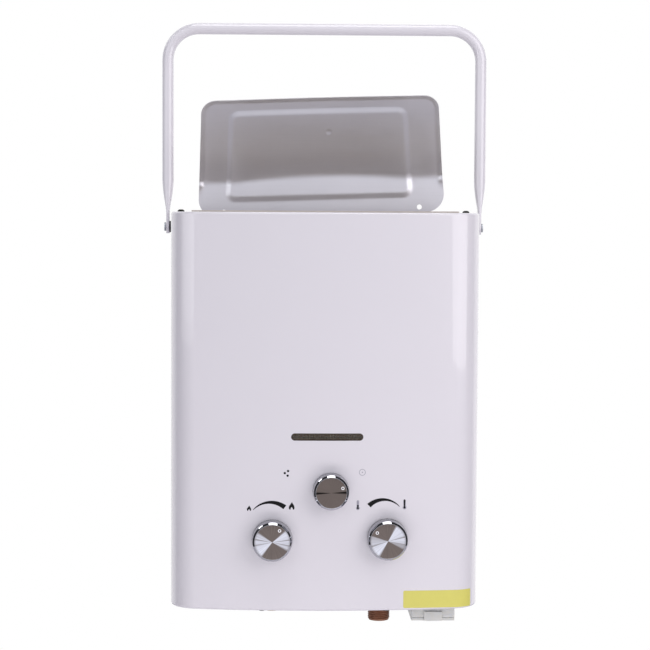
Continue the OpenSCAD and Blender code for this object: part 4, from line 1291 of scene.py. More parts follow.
@dataclass
class YellowSticker:
    """A plain yellow sticker low on the cover, wrapped part of the way round its right corner."""

    start: float = 73.5
    length: float = 67.2
    height: float = 16.3
    top: float = 18.6
    slope: float = -0.012
    corner_r: float = 1.0
    lift: float = 0.03
    vinyl: float = 0.09

    def build(self) -> list[Piece]:
        """Builds the sticker.

        Returns:
            The finished pieces.
        """
        sticker = grid("yellow_sticker", 96, 12, self.shape)
        facing(sticker, self.shape(0.0, 0.5), (0, -1, 0))
        applied(sticker, "SOLIDIFY", thickness=self.vinyl * MM, offset=1.0)
        return [fit(smooth(sticker, 40), STICKER_VINYL, "milky_plastic")]

    def shape(self, u: float, v: float) -> Point:
        """A point of the sticker at a share along it and up it, with its corners rounded.

        Args:
            u: The share along it.
            v: The share up it.

        Returns:
            The point.
        """
        along, up = u * self.length, v * self.height
        near_end = min(along, self.length - along)
        near_edge = min(up, self.height - up)
        r = self.corner_r
        if near_end < r:
            trim = r - math.sqrt(max(0.0, r * r - (r - near_end) ** 2))
            up = min(max(up, trim), self.height - trim) if near_edge < trim else up
        x, y = PLAN.skin(self.start + along, self.lift)
        return x, y, self.top - self.height + up + self.slope * along


@dataclass
class CoverScrews:
    """Domed black screws with a cross recess, two on the upper rim and four on the lower one."""

    head_r: float = 3.4
    head_rim: float = 0.35
    shaft: tuple[Flat, ...] = ((0.0, -6.0), (0.9, -5.6), (1.5, -4.8), (1.5, 0.0))
    recess: Flat = (3.6, 0.8)
    recess_depth: float = 0.7
    cut_h: float = 2.6

    def build(self) -> list[Piece]:
        """Models a screw for each height of head and copies it to both sides.

        Returns:
            The finished pieces.
        """
        copies = []
        for spot in SCREW_SPOTS:
            model = self.screw(spot.head_h)
            x, y, z = spot.place
            turn = Matrix.Rotation(math.pi, 4, "X") if z == 0 else Matrix.Identity(4)
            for side in (-1, 1):
                copy = duplicate(model, "cover_screw")
                copy.data.transform(Matrix.Translation(Vector((side * x, y, z)) * MM) @ turn)
                copies.append(copy)
            bpy.data.objects.remove(model)
        screws = smooth(joined("cover_screws_crossed", copies), 35)
        return [fit(screws, BLACK_ZINC, "black_steel", replaces=["cover_screws"])]

    def screw(self, head_h: float) -> Piece:
        """One screw, standing at the origin with its head up.

        Args:
            head_h: How high its head stands.

        Returns:
            The screw.
        """
        dome = [
            (self.head_r * math.cos(a), self.head_rim + (head_h - self.head_rim) * math.sin(a))
            for a in (math.pi / 2 * i / 8 for i in range(8))
        ]
        profile = [*self.shaft, (self.head_r, 0.0), *dome, (0.0, head_h)]
        obj = turned("screw_model", profile, (0, 0, 0), Axis.UP, 32)
        cutters = []
        middle = head_h - self.recess_depth + self.cut_h / 2
        for w, d in (self.recess, reversed(self.recess)):
            deselect()
            bpy.ops.mesh.primitive_cube_add(size=MM, location=(0, 0, middle * MM))
            bar = bpy.context.object
            bar.scale = (w, d, self.cut_h)
            bpy.ops.object.transform_apply(location=True, rotation=True, scale=True)
            cutters.append(bar)
        return cut(obj, cutters)


def softened(
    node: str,
    name: str,
    width_mm: float,
    degrees: float = 40.0,
    segments: int = 2,
    whole: bool = True,
) -> Piece:
    """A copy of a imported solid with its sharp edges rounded, ready for its finish.

    Args:
        node: The solid's name.
        name: The new piece's name.
        width_mm: Width of the rounding.
        degrees: Edges that turn by more than this are rounded.
        segments: Steps across the rounding.
        whole: Whether flat faces become one first.

    Returns:
        The copy.
    """
    copy = bevelled(solid_copy(node, name, whole), width_mm, degrees, segments)
    return evened(smooth(copy, 34))


@dataclass
class PanelWork:
    """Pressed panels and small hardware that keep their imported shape, with softened edges."""

    jobs: tuple[tuple[str, float, Finish, str], ...] = (
        ("back_plate", 0.3, POWDER_COAT, "white_paint"),
        ("top_panel", 0.25, POWDER_COAT, "white_paint"),
        ("bottom_panel", 0.25, ZINC_PLATE, "zinc_steel"),
        ("flue_grille", 0.2, PASSIVATED_STEEL, "black_steel"),
        ("handle_screws", 0.35, ZINC_PLATE, "zinc_steel"),
        ("handle_bushes", 0.3, BLACK_ABS, "black_plastic"),
        ("hood_hinge_ears", 0.2, ROLLED_STAINLESS, "stainless"),
        ("hood_hinge_rod", 0.3, ZINC_PLATE, "zinc_steel"),
        ("fitting_nuts", 0.4, BRASS, "brass"),
    )
    slotted: tuple[str, ...] = ("flue_grille",)

    def build(self) -> list[Piece]:
        """Softens each one's edges and finishes it.

        Returns:
            The finished pieces.
        """
        pieces = []
        for node, width, finish, slot in self.jobs:
            obj = softened(node, f"{node}_finished", width, whole=node not in self.slotted)
            pieces.append(fit(obj, finish, slot, replaces=[node]))
        return pieces


# ---- Handle ---------------------------------------------------------------------------------


@dataclass
class CarryHandle:
    """One bent tube, pressed flat where it is screwed to the case.

    Each leg is flat up to flat_z and round from round_z on. Its foot is a half circle that stops
    just short of its lowest point, at the share blunt of its radius.
    """

    tube_r: float = 5.5
    leg_x: float = 150.3
    top_z: float = 545.0
    bend_r: float = 30.0
    flat_z: float = 369.0
    round_z: float = 402.0
    tab_half: Flat = (1.75, 6.5)
    squareness: float = 0.62
    blunt: float = 0.995
    press_power: float = 1.4
    press_rounding: float = 0.55
    points: int = 36
    foot_steps: int = 8
    press_steps: int = 14
    straight_steps: int = 4
    bend_steps: int = 18

    def section(self, flat: float, reach: float = 1.0) -> list[Flat]:
        """The tube's outline across its run.

        Args:
            flat: 0 for the round tube, 1 where it is pressed flat.
            reach: Share of the flat tab's width, for its round end.

        Returns:
            Distances outwards and to the front.
        """
        a = self.tube_r + (self.tab_half[0] - self.tube_r) * flat
        b = (self.tube_r + (self.tab_half[1] - self.tube_r) * flat) * reach
        power = 1 - self.squareness * flat
        ring = []
        for i in range(self.points):
            c, s = math.cos(math.tau * i / self.points), math.sin(math.tau * i / self.points)
            ring.append((a * math.copysign(abs(c) ** power, c), b * s))
        return ring

    def leg_rows(self) -> list[tuple[Flat, Flat, list[Flat]]]:
        """The right half's rows from its foot to the middle of the bar: place, outward way, outline.

        Returns:
            The rows.
        """
        rows = []
        right, up = (1.0, 0.0), (0.0, 1.0)
        pivot_z = HANDLE_PIVOT[1]
        for i in range(self.foot_steps + 1):
            low = self.blunt * math.cos(math.pi / 2 * i / self.foot_steps)
            place = (self.leg_x, pivot_z - self.tab_half[1] * low)
            rows.append((place, right, self.section(1.0, math.sqrt(1 - low * low))))
        rows.append(((self.leg_x, (pivot_z + self.flat_z) / 2), right, self.section(1.0)))
        for i in range(self.press_steps + 1):
            share = i / self.press_steps
            flat = eased((1 - share) ** self.press_power, 0, 1, self.press_rounding)
            z = self.flat_z + (self.round_z - self.flat_z) * share
            rows.append(((self.leg_x, z), right, self.section(flat)))
        tube = self.section(0.0)
        corner_x, corner_z = self.leg_x - self.bend_r, self.top_z - self.bend_r
        for i in range(1, self.straight_steps):
            z = self.round_z + (corner_z - self.round_z) * i / self.straight_steps
            rows.append(((self.leg_x, z), right, tube))
        for i in range(self.bend_steps + 1):
            a = math.pi / 2 * i / self.bend_steps
            out = (math.cos(a), math.sin(a))
            place = (corner_x + self.bend_r * out[0], corner_z + self.bend_r * out[1])
            rows.append((place, out, tube))
        for i in range(1, self.straight_steps + 1):
            rows.append(((corner_x * (1 - i / self.straight_steps), self.top_z), up, tube))
        return rows

    def build(self) -> list[Piece]:
        """Builds the tube and drills its two eyes.

        Returns:
            The finished pieces.
        """
        rows = [
            [(p[0] + out[0] * a, HANDLE_PIVOT[0] - b, p[1] + out[1] * a) for a, b in ring]
            for p, out, ring in self.leg_rows()
        ]
        mirrored = [[(-x, y, z) for x, y, z in row] for row in reversed(rows[:-1])]
        tube = loft("handle_tube", rows + mirrored, ends=(True, True))
        smooth(cut(tube, [pivot_cutter()]), 50)
        return [fit(tube, POWDER_COAT, "white_paint", "handle", ["handle"])]


# ---- Rain hood ------------------------------------------------------------------------------


@dataclass(frozen=True)
class Dent:
    """A small round dent or swelling in a sheet: its place on the flat sheet, reach and height."""

    u: float
    v: float
    r: float
    height: float


@dataclass
class RainHood:
    """The bent stainless hood, with its raised field, its turned edge and its dents.

    A point of the flat sheet has a sideways place u and a distance v from the foot. The field's
    margins are its distances from the sheet's sides, foot and tip. Pairs named run hold where a rise
    starts and ends, and bend_arch is how far the bend rises in the middle and how wide that arch is.
    """

    half_w: float = 121.7
    taper: float = 8.9
    shift: float = -1.2
    foot_z: float = 367.6
    face_y: float = -8.4
    sheet: float = 0.8
    foot_r: float = 19.0
    tip_r: float = 14.0
    bend_at: float = 35.4
    bend_width: float = 13.0
    bend_arch: Flat = (4.2, 84.0)
    bend_steps: int = 60
    leaf: float = 89.3
    lean: float = math.radians(32)
    field_margins: Point = (28.0, 14.4, 11.8)
    field_r: float = 10.0
    field_off: float = 2.0
    field_h: float = 1.6
    field_run: Flat = (0.0, 5.5)
    rim_h: float = 1.1
    rim_run: Flat = (0.2, 4.6)
    rim_foot_run: Flat = (20.0, 34.0)
    press_rounding: float = 0.35
    dents: tuple[Dent, ...] = (Dent(8.0, 87.6, 3.0, -0.55), Dent(58.0, 95.3, 1.5, -0.35))
    swelling: Flat = (118.0, 31.5)
    swelling_reach: Flat = (2.4, 2.6)
    swelling_h: float = 1.0
    wave_h: float = 0.06
    wave_reach: Flat = (37.0, 29.0)
    wave_start: Flat = (0.6, 0.4)
    skew: float = math.radians(1.85)
    hinge_z: float = 368.5
    hole: Flat = (96.0, 372.6)
    hole_r: float = 2.5
    hole_cut: Flat = (5.0, 20.0)
    faces: tuple[int, int] = (190, 112)
    crowding: float = 0.6
    bend_curve: list[Flat] = field(init=False)

    def __post_init__(self) -> None:
        """Adds up the bend's short steps, outwards and upwards."""
        out = up = 0.0
        self.bend_curve = [(out, up)]
        for i in range(self.bend_steps):
            lean = self.lean * eased((i + 0.5) / self.bend_steps, 0, 1)
            out += math.sin(lean) * self.bend_width / self.bend_steps
            up += math.cos(lean) * self.bend_width / self.bend_steps
            self.bend_curve.append((out, up))

    @property
    def length(self) -> float:
        """The flat sheet's length from its foot to its tip."""
        return self.bend_at + self.leaf

    def half_at(self, v: float) -> float:
        """Half the flat sheet's width at a distance from its foot, without its round corners."""
        return self.half_w - self.taper * v / self.length

    def inside(self, u: float, v: float, margins: Point, r: float) -> float:
        """How far a point of the flat sheet lies inside a rounded outline.

        Args:
            u: Sideways place.
            v: Distance from the foot.
            margins: The outline's distance from the sheet's sides, foot and tip.
            r: Its corner radius.

        Returns:
            The distance, negative outside.
        """
        side, foot, tip = margins
        middle, half = (foot + self.length - tip) / 2, (self.length - foot - tip) / 2
        qx, qy = abs(u) - (self.half_at(v) - side - r), abs(v - middle) - (half - r)
        return r - math.hypot(max(qx, 0.0), max(qy, 0.0)) - min(max(qx, qy), 0.0)

    def relief(self, u: float, v: float) -> float:
        """How far the sheet is pressed towards the viewer at a point.

        Args:
            u: Sideways place on the flat sheet.
            v: Distance from its foot.

        Returns:
            The height.
        """
        edge = self.inside(u, v, (0, 0, 0), self.foot_r if v < self.length / 2 else self.tip_r)
        turned_edge = 1 - eased(edge, *self.rim_run, self.press_rounding)
        height = self.rim_h * turned_edge * eased(v, *self.rim_foot_run)
        border = self.inside(u + self.field_off, v, self.field_margins, self.field_r)
        height += self.field_h * eased(border, *self.field_run, self.press_rounding)
        for dent in self.dents:
            off = math.hypot(u - dent.u, v - dent.v)
            height += dent.height * (1 - eased(off, dent.r * 0.3, dent.r))
        for side in (-1, 1):
            du = (u - side * self.swelling[0]) / self.swelling_reach[0]
            dv = (v - self.swelling[1]) / self.swelling_reach[1]
            height += self.swelling_h * math.exp(-(du**2) - dv**2)
        wave_u, wave_v = (
            math.sin(at / reach + start)
            for at, reach, start in zip((u, v), self.wave_reach, self.wave_start)
        )
        return height + self.wave_h * wave_u * wave_v

    def bent(self, v: float, start: float) -> Point:
        """Where a point along the sheet ends up once it is bent.

        Args:
            v: Distance from the foot.
            start: Where the middle of the bend lies there.

        Returns:
            How far it leans out, its height over the foot, and the sheet's lean at that point.
        """
        low = start - self.bend_width / 2
        if v <= low:
            return 0.0, v, 0.0
        share = min(1.0, (v - low) / self.bend_width)
        step = min(self.bend_steps - 1, int(share * self.bend_steps))
        part = share * self.bend_steps - step
        (out, up), (next_out, next_up) = self.bend_curve[step : step + 2]
        out, up = out + (next_out - out) * part, up + (next_up - up) * part
        over = max(0.0, v - low - self.bend_width)
        lean = self.lean * eased(share, 0, 1)
        return out + over * math.sin(self.lean), low + up + over * math.cos(self.lean), lean

    def skewed(self, x: float, y: float, z: float) -> Point:
        """Where a point of the upright hood stands once it sits askew in its hinge."""
        c, s, up = math.cos(self.skew), math.sin(self.skew), z - self.hinge_z
        return x * c - up * s + self.shift, y, self.hinge_z + x * s + up * c

    def shape(self, s: float, t: float) -> Point:
        """A point of the finished sheet at a share across and along.

        Args:
            s: The share across.
            t: The share along.

        Returns:
            The point.
        """
        # The rows stand closer together towards the foot and the tip.
        gathered = (1 - math.cos(math.pi * t)) / 2
        v = self.length * (gathered * self.crowding + t * (1 - self.crowding))
        half = self.half_at(v)
        for r, d in ((self.foot_r, v), (self.tip_r, self.length - v)):
            if d < r:
                half -= r - math.sqrt(max(0.0, r * r - (r - d) ** 2))
        u = (2 * s - 1) * half
        rise, span = self.bend_arch
        out, up, lean = self.bent(v, self.bend_at + rise * max(0.0, 1 - (u / span) ** 2))
        height = self.relief(u, v)
        y = self.face_y - out - height * math.cos(lean)
        return self.skewed(u, y, self.foot_z + up - height * math.sin(lean))

    def build(self) -> list[Piece]:
        """Builds the sheet, punches its holes and finishes its hinge leaves.

        Returns:
            The finished pieces.
        """
        sheet = grid("rain_hood_sheet", *self.faces, self.shape)
        facing(sheet, (0, self.face_y, self.hinge_z), (0, -1, 0))
        applied(sheet, "SOLIDIFY", thickness=self.sheet * MM, offset=-1.0)
        back, depth = self.hole_cut
        spots = [self.skewed(side * self.hole[0], back, self.hole[1]) for side in (-1, 1)]
        cut(sheet, [pin("hood_hole", spot, Axis.FRONT, self.hole_r, depth) for spot in spots])
        smooth(sheet, 40)
        leaves = softened("hood_hinge_leaves", "hood_hinge_leaves_finished", 0.18)
        return [
            fit(sheet, ROLLED_STAINLESS, "stainless", "hood", ["hood"]),
            fit(leaves, ROLLED_STAINLESS, "stainless", "hood", ["hood_hinge_leaves"]),
        ]


# ---- Knobs ----------------------------------------------------------------------------------


class CapPart(Enum):
    """The parts of a knob's cap, in the order of its material slots."""

    SIDE = 0
    BEVEL = 1
    FACE = 2


@dataclass
class ControlKnob:
    """A knob's metal cap: drawn side, polished bevel, spun face, and the mark that points.

    The face ends face_margin inside the cap's front rim, and the bevel reaches bevel_h down from
    it. What looks to the front by less than front_look belongs to the side.
    """

    name: str
    centre: Flat
    radius: float
    base_y: float
    mark_deg: float
    face: SpunFace
    height: float = 14.5
    taper: float = 0.8
    sheet: float = 0.9
    face_margin: float = 2.1
    bevel_h: float = 1.8
    front_look: float = 0.2
    mark_at: float = 0.70
    mark_sunk: float = 0.20
    mark_foot: float = -0.1
    ring_r: Flat = (0.75, 1.55)
    ring_h: float = 0.08
    core_r: float = 0.7
    core_h: float = 0.03

    @property
    def rim_r(self) -> float:
        """The cap's radius at its front."""
        return self.radius - self.taper

    def profile(self) -> list[Flat]:
        """Radius and height from the face's middle over the rim and down the side to the inside.

        Returns:
            The points.
        """
        rim, r, h = self.rim_r, self.radius, self.height
        bore, inner = r - self.sheet, rim - self.sheet
        face = [
            (0.0, h - 0.32), (rim * 0.3, h - 0.31), (rim * 0.6, h - 0.28), (rim - 2.3, h - 0.22),
            (rim - self.face_margin, h - 0.18),
        ]
        bead = [(rim - 2.0, h - 0.02), (rim - 1.9, h), (rim - 1.8, h - 0.02)]
        bevel = [(rim - 0.12, h - 1.7), (rim - 0.02, h - 1.85), (rim + 0.04, h - 2.1)]
        foot = [(r - 0.02, 0.5), (r - 0.12, 0.12), (r - 0.35, 0.0), (bore + 0.1, 0.0), (bore, 0.2)]
        inside = [(inner, h - 2.9), (inner - 1.6, h - 1.2), (0.0, h - 1.1)]
        return face + bead + bevel + foot + inside

    def build(self) -> list[Piece]:
        """Builds the cap and its mark.

        Returns:
            The finished pieces.
        """
        x, z = self.centre
        cap = turned(f"{self.name}_cap_spun", self.profile(), (x, self.base_y, z), Axis.FRONT, 96)
        finishes = [DRAWN_CHROME, POLISHED_CHROME, self.face]
        fit(cap, finishes, "spun_metal", self.name, [f"{self.name}_cap"])
        self.split_finishes(cap)
        self.wrap_face(cap)
        return [smooth(cap, 24)] + self.mark()

    def off_axis(self, co: Vector) -> Flat:
        """A point's distances from the knob's axis, to the right and up."""
        return co.x / MM - self.centre[0], co.z / MM - self.centre[1]

    def split_finishes(self, cap: Piece) -> None:
        """Gives the spun finish to the face and the polished one to the bevel.

        Args:
            cap: The cap.
        """
        for face in cap.data.polygons:
            r, h = math.hypot(*self.off_axis(face.center)), self.base_y - face.center.y / MM
            if face.normal.y > -self.front_look or h < self.height - self.bevel_h:
                part = CapPart.SIDE
            else:
                part = CapPart.FACE if r < self.rim_r - self.face_margin else CapPart.BEVEL
            face.material_index = part.value

    def wrap_face(self, cap: Piece) -> None:
        """Gives the cap a UV map with the angle in U and the radius in V.

        Args:
            cap: The cap.
        """
        layer = cap.data.uv_layers.new(name="spin")
        for face in cap.data.polygons:
            middle = self.angle(face.center)
            for index in face.loop_indices:
                co = cap.data.vertices[cap.data.loops[index].vertex_index].co
                r = math.hypot(*self.off_axis(co))
                # The pole has no angle of its own, and no face may run across the seam.
                a = self.angle(co) if r > 0.01 else middle
                a += round(middle - a)
                layer.data[index].uv = (a, r)

    def angle(self, co: Vector) -> float:
        """A point's angle round the knob, as a share of a turn from the right."""
        right, up = self.off_axis(co)
        return math.atan2(up, right) / math.tau

    def mark(self) -> list[Piece]:
        """The white ring with a dark core that shows where the knob points.

        Returns:
            The ring and the core.
        """
        a = math.radians(90 - self.mark_deg)
        reach = self.rim_r * self.mark_at
        place = (
            self.centre[0] + reach * math.cos(a),
            self.base_y - self.height + self.mark_sunk,
            self.centre[1] + reach * math.sin(a),
        )
        foot, (inner, outer) = self.mark_foot, self.ring_r
        band = [(inner, foot), (inner, self.ring_h), (outer, self.ring_h), (outer, foot), (inner, foot)]
        disc = [(0.0, foot), (self.core_r, foot), (self.core_r, self.core_h), (0.0, self.core_h)]
        ring = smooth(turned(f"{self.name}_mark_ring", band, place, Axis.FRONT, 24), 40)
        core = smooth(turned(f"{self.name}_mark_core", disc, place, Axis.FRONT, 24), 40)
        return [
            fit(ring, WHITE_INK, "milky_plastic", self.name),
            fit(core, BLACK_INK, "black_plastic", self.name),
        ]


# ---- Fittings and battery box ----------------------------------------------------------------


@dataclass
class ThreadedStub:
    """A fitting under the case: a real thread, a neck, a hexagon and the pipe above it.

    It hangs down by drop, and its thread starts thread_start above its mouth and ends thread_end
    below the case, where its last tooth keeps the share run_out. A tooth rises between the two shares
    of its flanks, to a height of tooth pitches. The hexagon's steps are given as how far they stand
    out over the thread, and their height.
    """

    name: str
    centre: Flat
    thread_r: float
    drop: float
    top_z: float
    pitch: float
    finish: Finish
    slot: str
    tooth: float = 0.55
    flanks: Flat = (0.12, 0.88)
    thread_start: float = 0.4
    thread_end: float = 0.6
    run_out: float = 0.25
    bore_wall: float = 3.0
    bore_top: float = 12.0
    neck_in: float = 0.75
    neck_top: float = 9.2
    pipe_in: float = 2.0
    hexagon: tuple[Flat, ...] = ((1.7, 8.2), (2.5, 8.9), (2.5, 12.5), (1.7, 13.2))
    rows_per_pitch: int = 6
    steps: int = 48

    def rings(self, *profile: Flat) -> list[list[Point]]:
        """Plain circles of given radii and heights round the stub."""
        return [circle((*self.centre, 0.0), Axis.UP, r, z, self.steps) for r, z in profile]

    def thread_rows(self) -> list[list[Point]]:
        """Rows of points up the thread, whose crests climb by one pitch in a turn.

        Returns:
            The rows.
        """
        x, y = self.centre
        count = int((self.drop - self.thread_end) / self.pitch * self.rows_per_pitch)
        run = self.drop - self.thread_start - self.thread_end
        rows = []
        for j in range(count + 1):
            z = self.thread_start - self.drop + run * j / count
            above, below = z + self.drop, -self.thread_end - z
            fade = min(1.0, above / self.pitch, below / self.pitch + self.run_out)
            row = []
            for i in range(self.steps):
                turn = (z / self.pitch - i / self.steps) % 1.0
                tooth = eased(abs(2 * turn - 1), *self.flanks)
                r = self.thread_r - self.pitch * self.tooth * (1 - tooth * fade)
                a = math.tau * i / self.steps
                row.append((x + r * math.cos(a), y + r * math.sin(a), z))
            rows.append(row)
        return rows

    def build(self) -> list[Piece]:
        """Builds the stub and its hexagon.

        Returns:
            The finished pieces.
        """
        bore, neck, pipe = (self.thread_r - w for w in (self.bore_wall, self.neck_in, self.pipe_in))
        root, mouth, end = self.thread_r - self.pitch * self.tooth, -self.drop, -self.thread_end
        rows = self.rings((bore, self.bore_top), (bore, mouth + 0.6), (bore + 0.5, mouth), (root, mouth))
        rows += self.thread_rows()
        rows += self.rings((neck - 0.6, end), (neck, end + 0.2), (neck, self.neck_top))
        rows += self.rings((pipe, self.neck_top), (pipe, self.top_z))
        stub = smooth(loft(f"{self.name}_stub", rows, ends=(True, True)), 50)
        profile = [(self.thread_r + out, z) for out, z in self.hexagon]
        place = (*self.centre, 0.0)
        nut = turned(f"{self.name}_hexagon", profile, place, Axis.UP, 6, (True, True))
        smooth(bevelled(nut, 0.3, degrees=30), 30)
        return [
            fit(stub, self.finish, self.slot, replaces=[self.name]),
            fit(nut, self.finish, self.slot),
        ]


@dataclass
class DrainPlug:
    """The low brass plug that drains the water valve, with a socket for a hexagon key."""

    centre: Flat = (63.9, -93.0)
    shaft_r: float = 5.5
    head_r: float = 7.0
    head: Flat = (-4.0, -0.6)
    top_z: float = 50.0
    socket: Flat = (3.0, 2.2)

    def build(self) -> list[Piece]:
        """Builds the plug with its head below the bottom panel.

        Returns:
            The finished pieces.
        """
        low, high = self.head
        r, depth = self.socket
        shaft = self.bar("drain_plug_shaft", self.shaft_r, high, self.top_z)
        head = self.bar("drain_plug_head", self.head_r, low, high, 6)
        key = self.bar("socket_cutter", r, low - 1, low + depth, 6)
        bevelled(cut(head, [key]), 0.35, degrees=30)
        plug = smooth(joined("drain_plug_turned", [head, shaft]), 30)
        return [fit(plug, BRASS, "brass", replaces=["drain_plug"])]

    def bar(self, name: str, radius: float, low: float, high: float, sides: int = 40) -> Piece:
        """An upright bar on the plug's axis, between two heights."""
        profile = [(radius, low), (radius, high)]
        return turned(name, profile, (*self.centre, 0.0), Axis.UP, sides, (True, True))


@dataclass
class BatteryBox:
    """The milky box for two cells and its lid, with moulded round edges."""

    jobs: tuple[tuple[str, str, float, str], ...] = (
        ("battery_case", "battery_box_moulded", 0.7, CASE_BODY),
        ("battery_lid", "battery_lid_moulded", 0.8, "battery_lid"),
    )

    def build(self) -> list[Piece]:
        """Rounds the mouldings' edges and finishes them.

        Returns:
            The finished pieces.
        """
        pieces = []
        for node, name, width, body in self.jobs:
            part = softened(node, name, width, degrees=50, segments=3)
            pieces.append(fit(part, MILKY_PP, "milky_plastic", body, [node]))
        return pieces


@dataclass
class InnerWorks:
    """The gas, water and electric parts inside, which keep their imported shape.

    Each finish is followed by the names of solids that have it, with spaces between them.
    """

    finishes: tuple[tuple[Finish, str], ...] = (
        (HEAT_GLASS, "window_glass"),
        (ZINC_PLATE, "handle_nuts gas_solenoid burner_tray chamber_brackets switch_bracket"),
        (ZINC_PLATE, "battery_lid_pin"),
        (BLACK_ABS, "flame_knob season_knob water_knob microswitch igniter_box overheat_sensor"),
        (BRASS, "flame_shaft season_shaft water_shaft burner_nozzles water_valve_body push_rod"),
        (BRASS, "battery_contacts"),
        (DIE_CAST, "gas_valve_body season_valve_body gas_manifold water_valve_cover"),
        (COPPER, "gas_link_pipe combustion_chamber exchanger_fins exchanger_tube"),
        (COPPER, "cold_pipe hot_pipe"),
        (ROLLED_STAINLESS, "burner_blades flue_collector"),
        (RUBBER, "diaphragm"),
        (CERAMIC, "electrodes"),
        (LEAD, "wiring"),
        (CELL_JACKET, "battery_cells"),
    )

    def build(self) -> list[Piece]:
        """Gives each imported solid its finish.

        Returns:
            The finished pieces.
        """
        pieces = []
        for finish, nodes in self.finishes:
            for node in nodes.split():
                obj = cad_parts[node]
                obj.data.materials.clear()
                obj.data.materials.append(finish.material())
                pieces.append(obj)
        return pieces


# ---- Studio ---------------------------------------------------------------------------------


@dataclass
class Softbox:
    """A rectangular lamp with an even face, which can be a mere card that only shiny things show."""

    name: str
    place: Point
    aim: Point
    size: Flat
    power: float
    colour: str = "FFFFFF"
    mirrored: bool = True
    card: bool = False

    def build(self) -> None:
        """Hangs the lamp and turns it to its aim."""
        lamp = bpy.data.lights.new(self.name, "AREA")
        lamp.shape = "RECTANGLE"
        lamp.size, lamp.size_y = self.size
        lamp.energy = self.power
        lamp.color = linear(self.colour)[:3]
        holder = bpy.data.objects.new(self.name, lamp)
        bpy.context.scene.collection.objects.link(holder)
        holder.location = self.place
        holder.visible_glossy = self.mirrored
        holder.visible_diffuse = not self.card
        way = Vector(self.aim) - Vector(self.place)
        holder.rotation_euler = way.to_track_quat("-Z", "Y").to_euler()


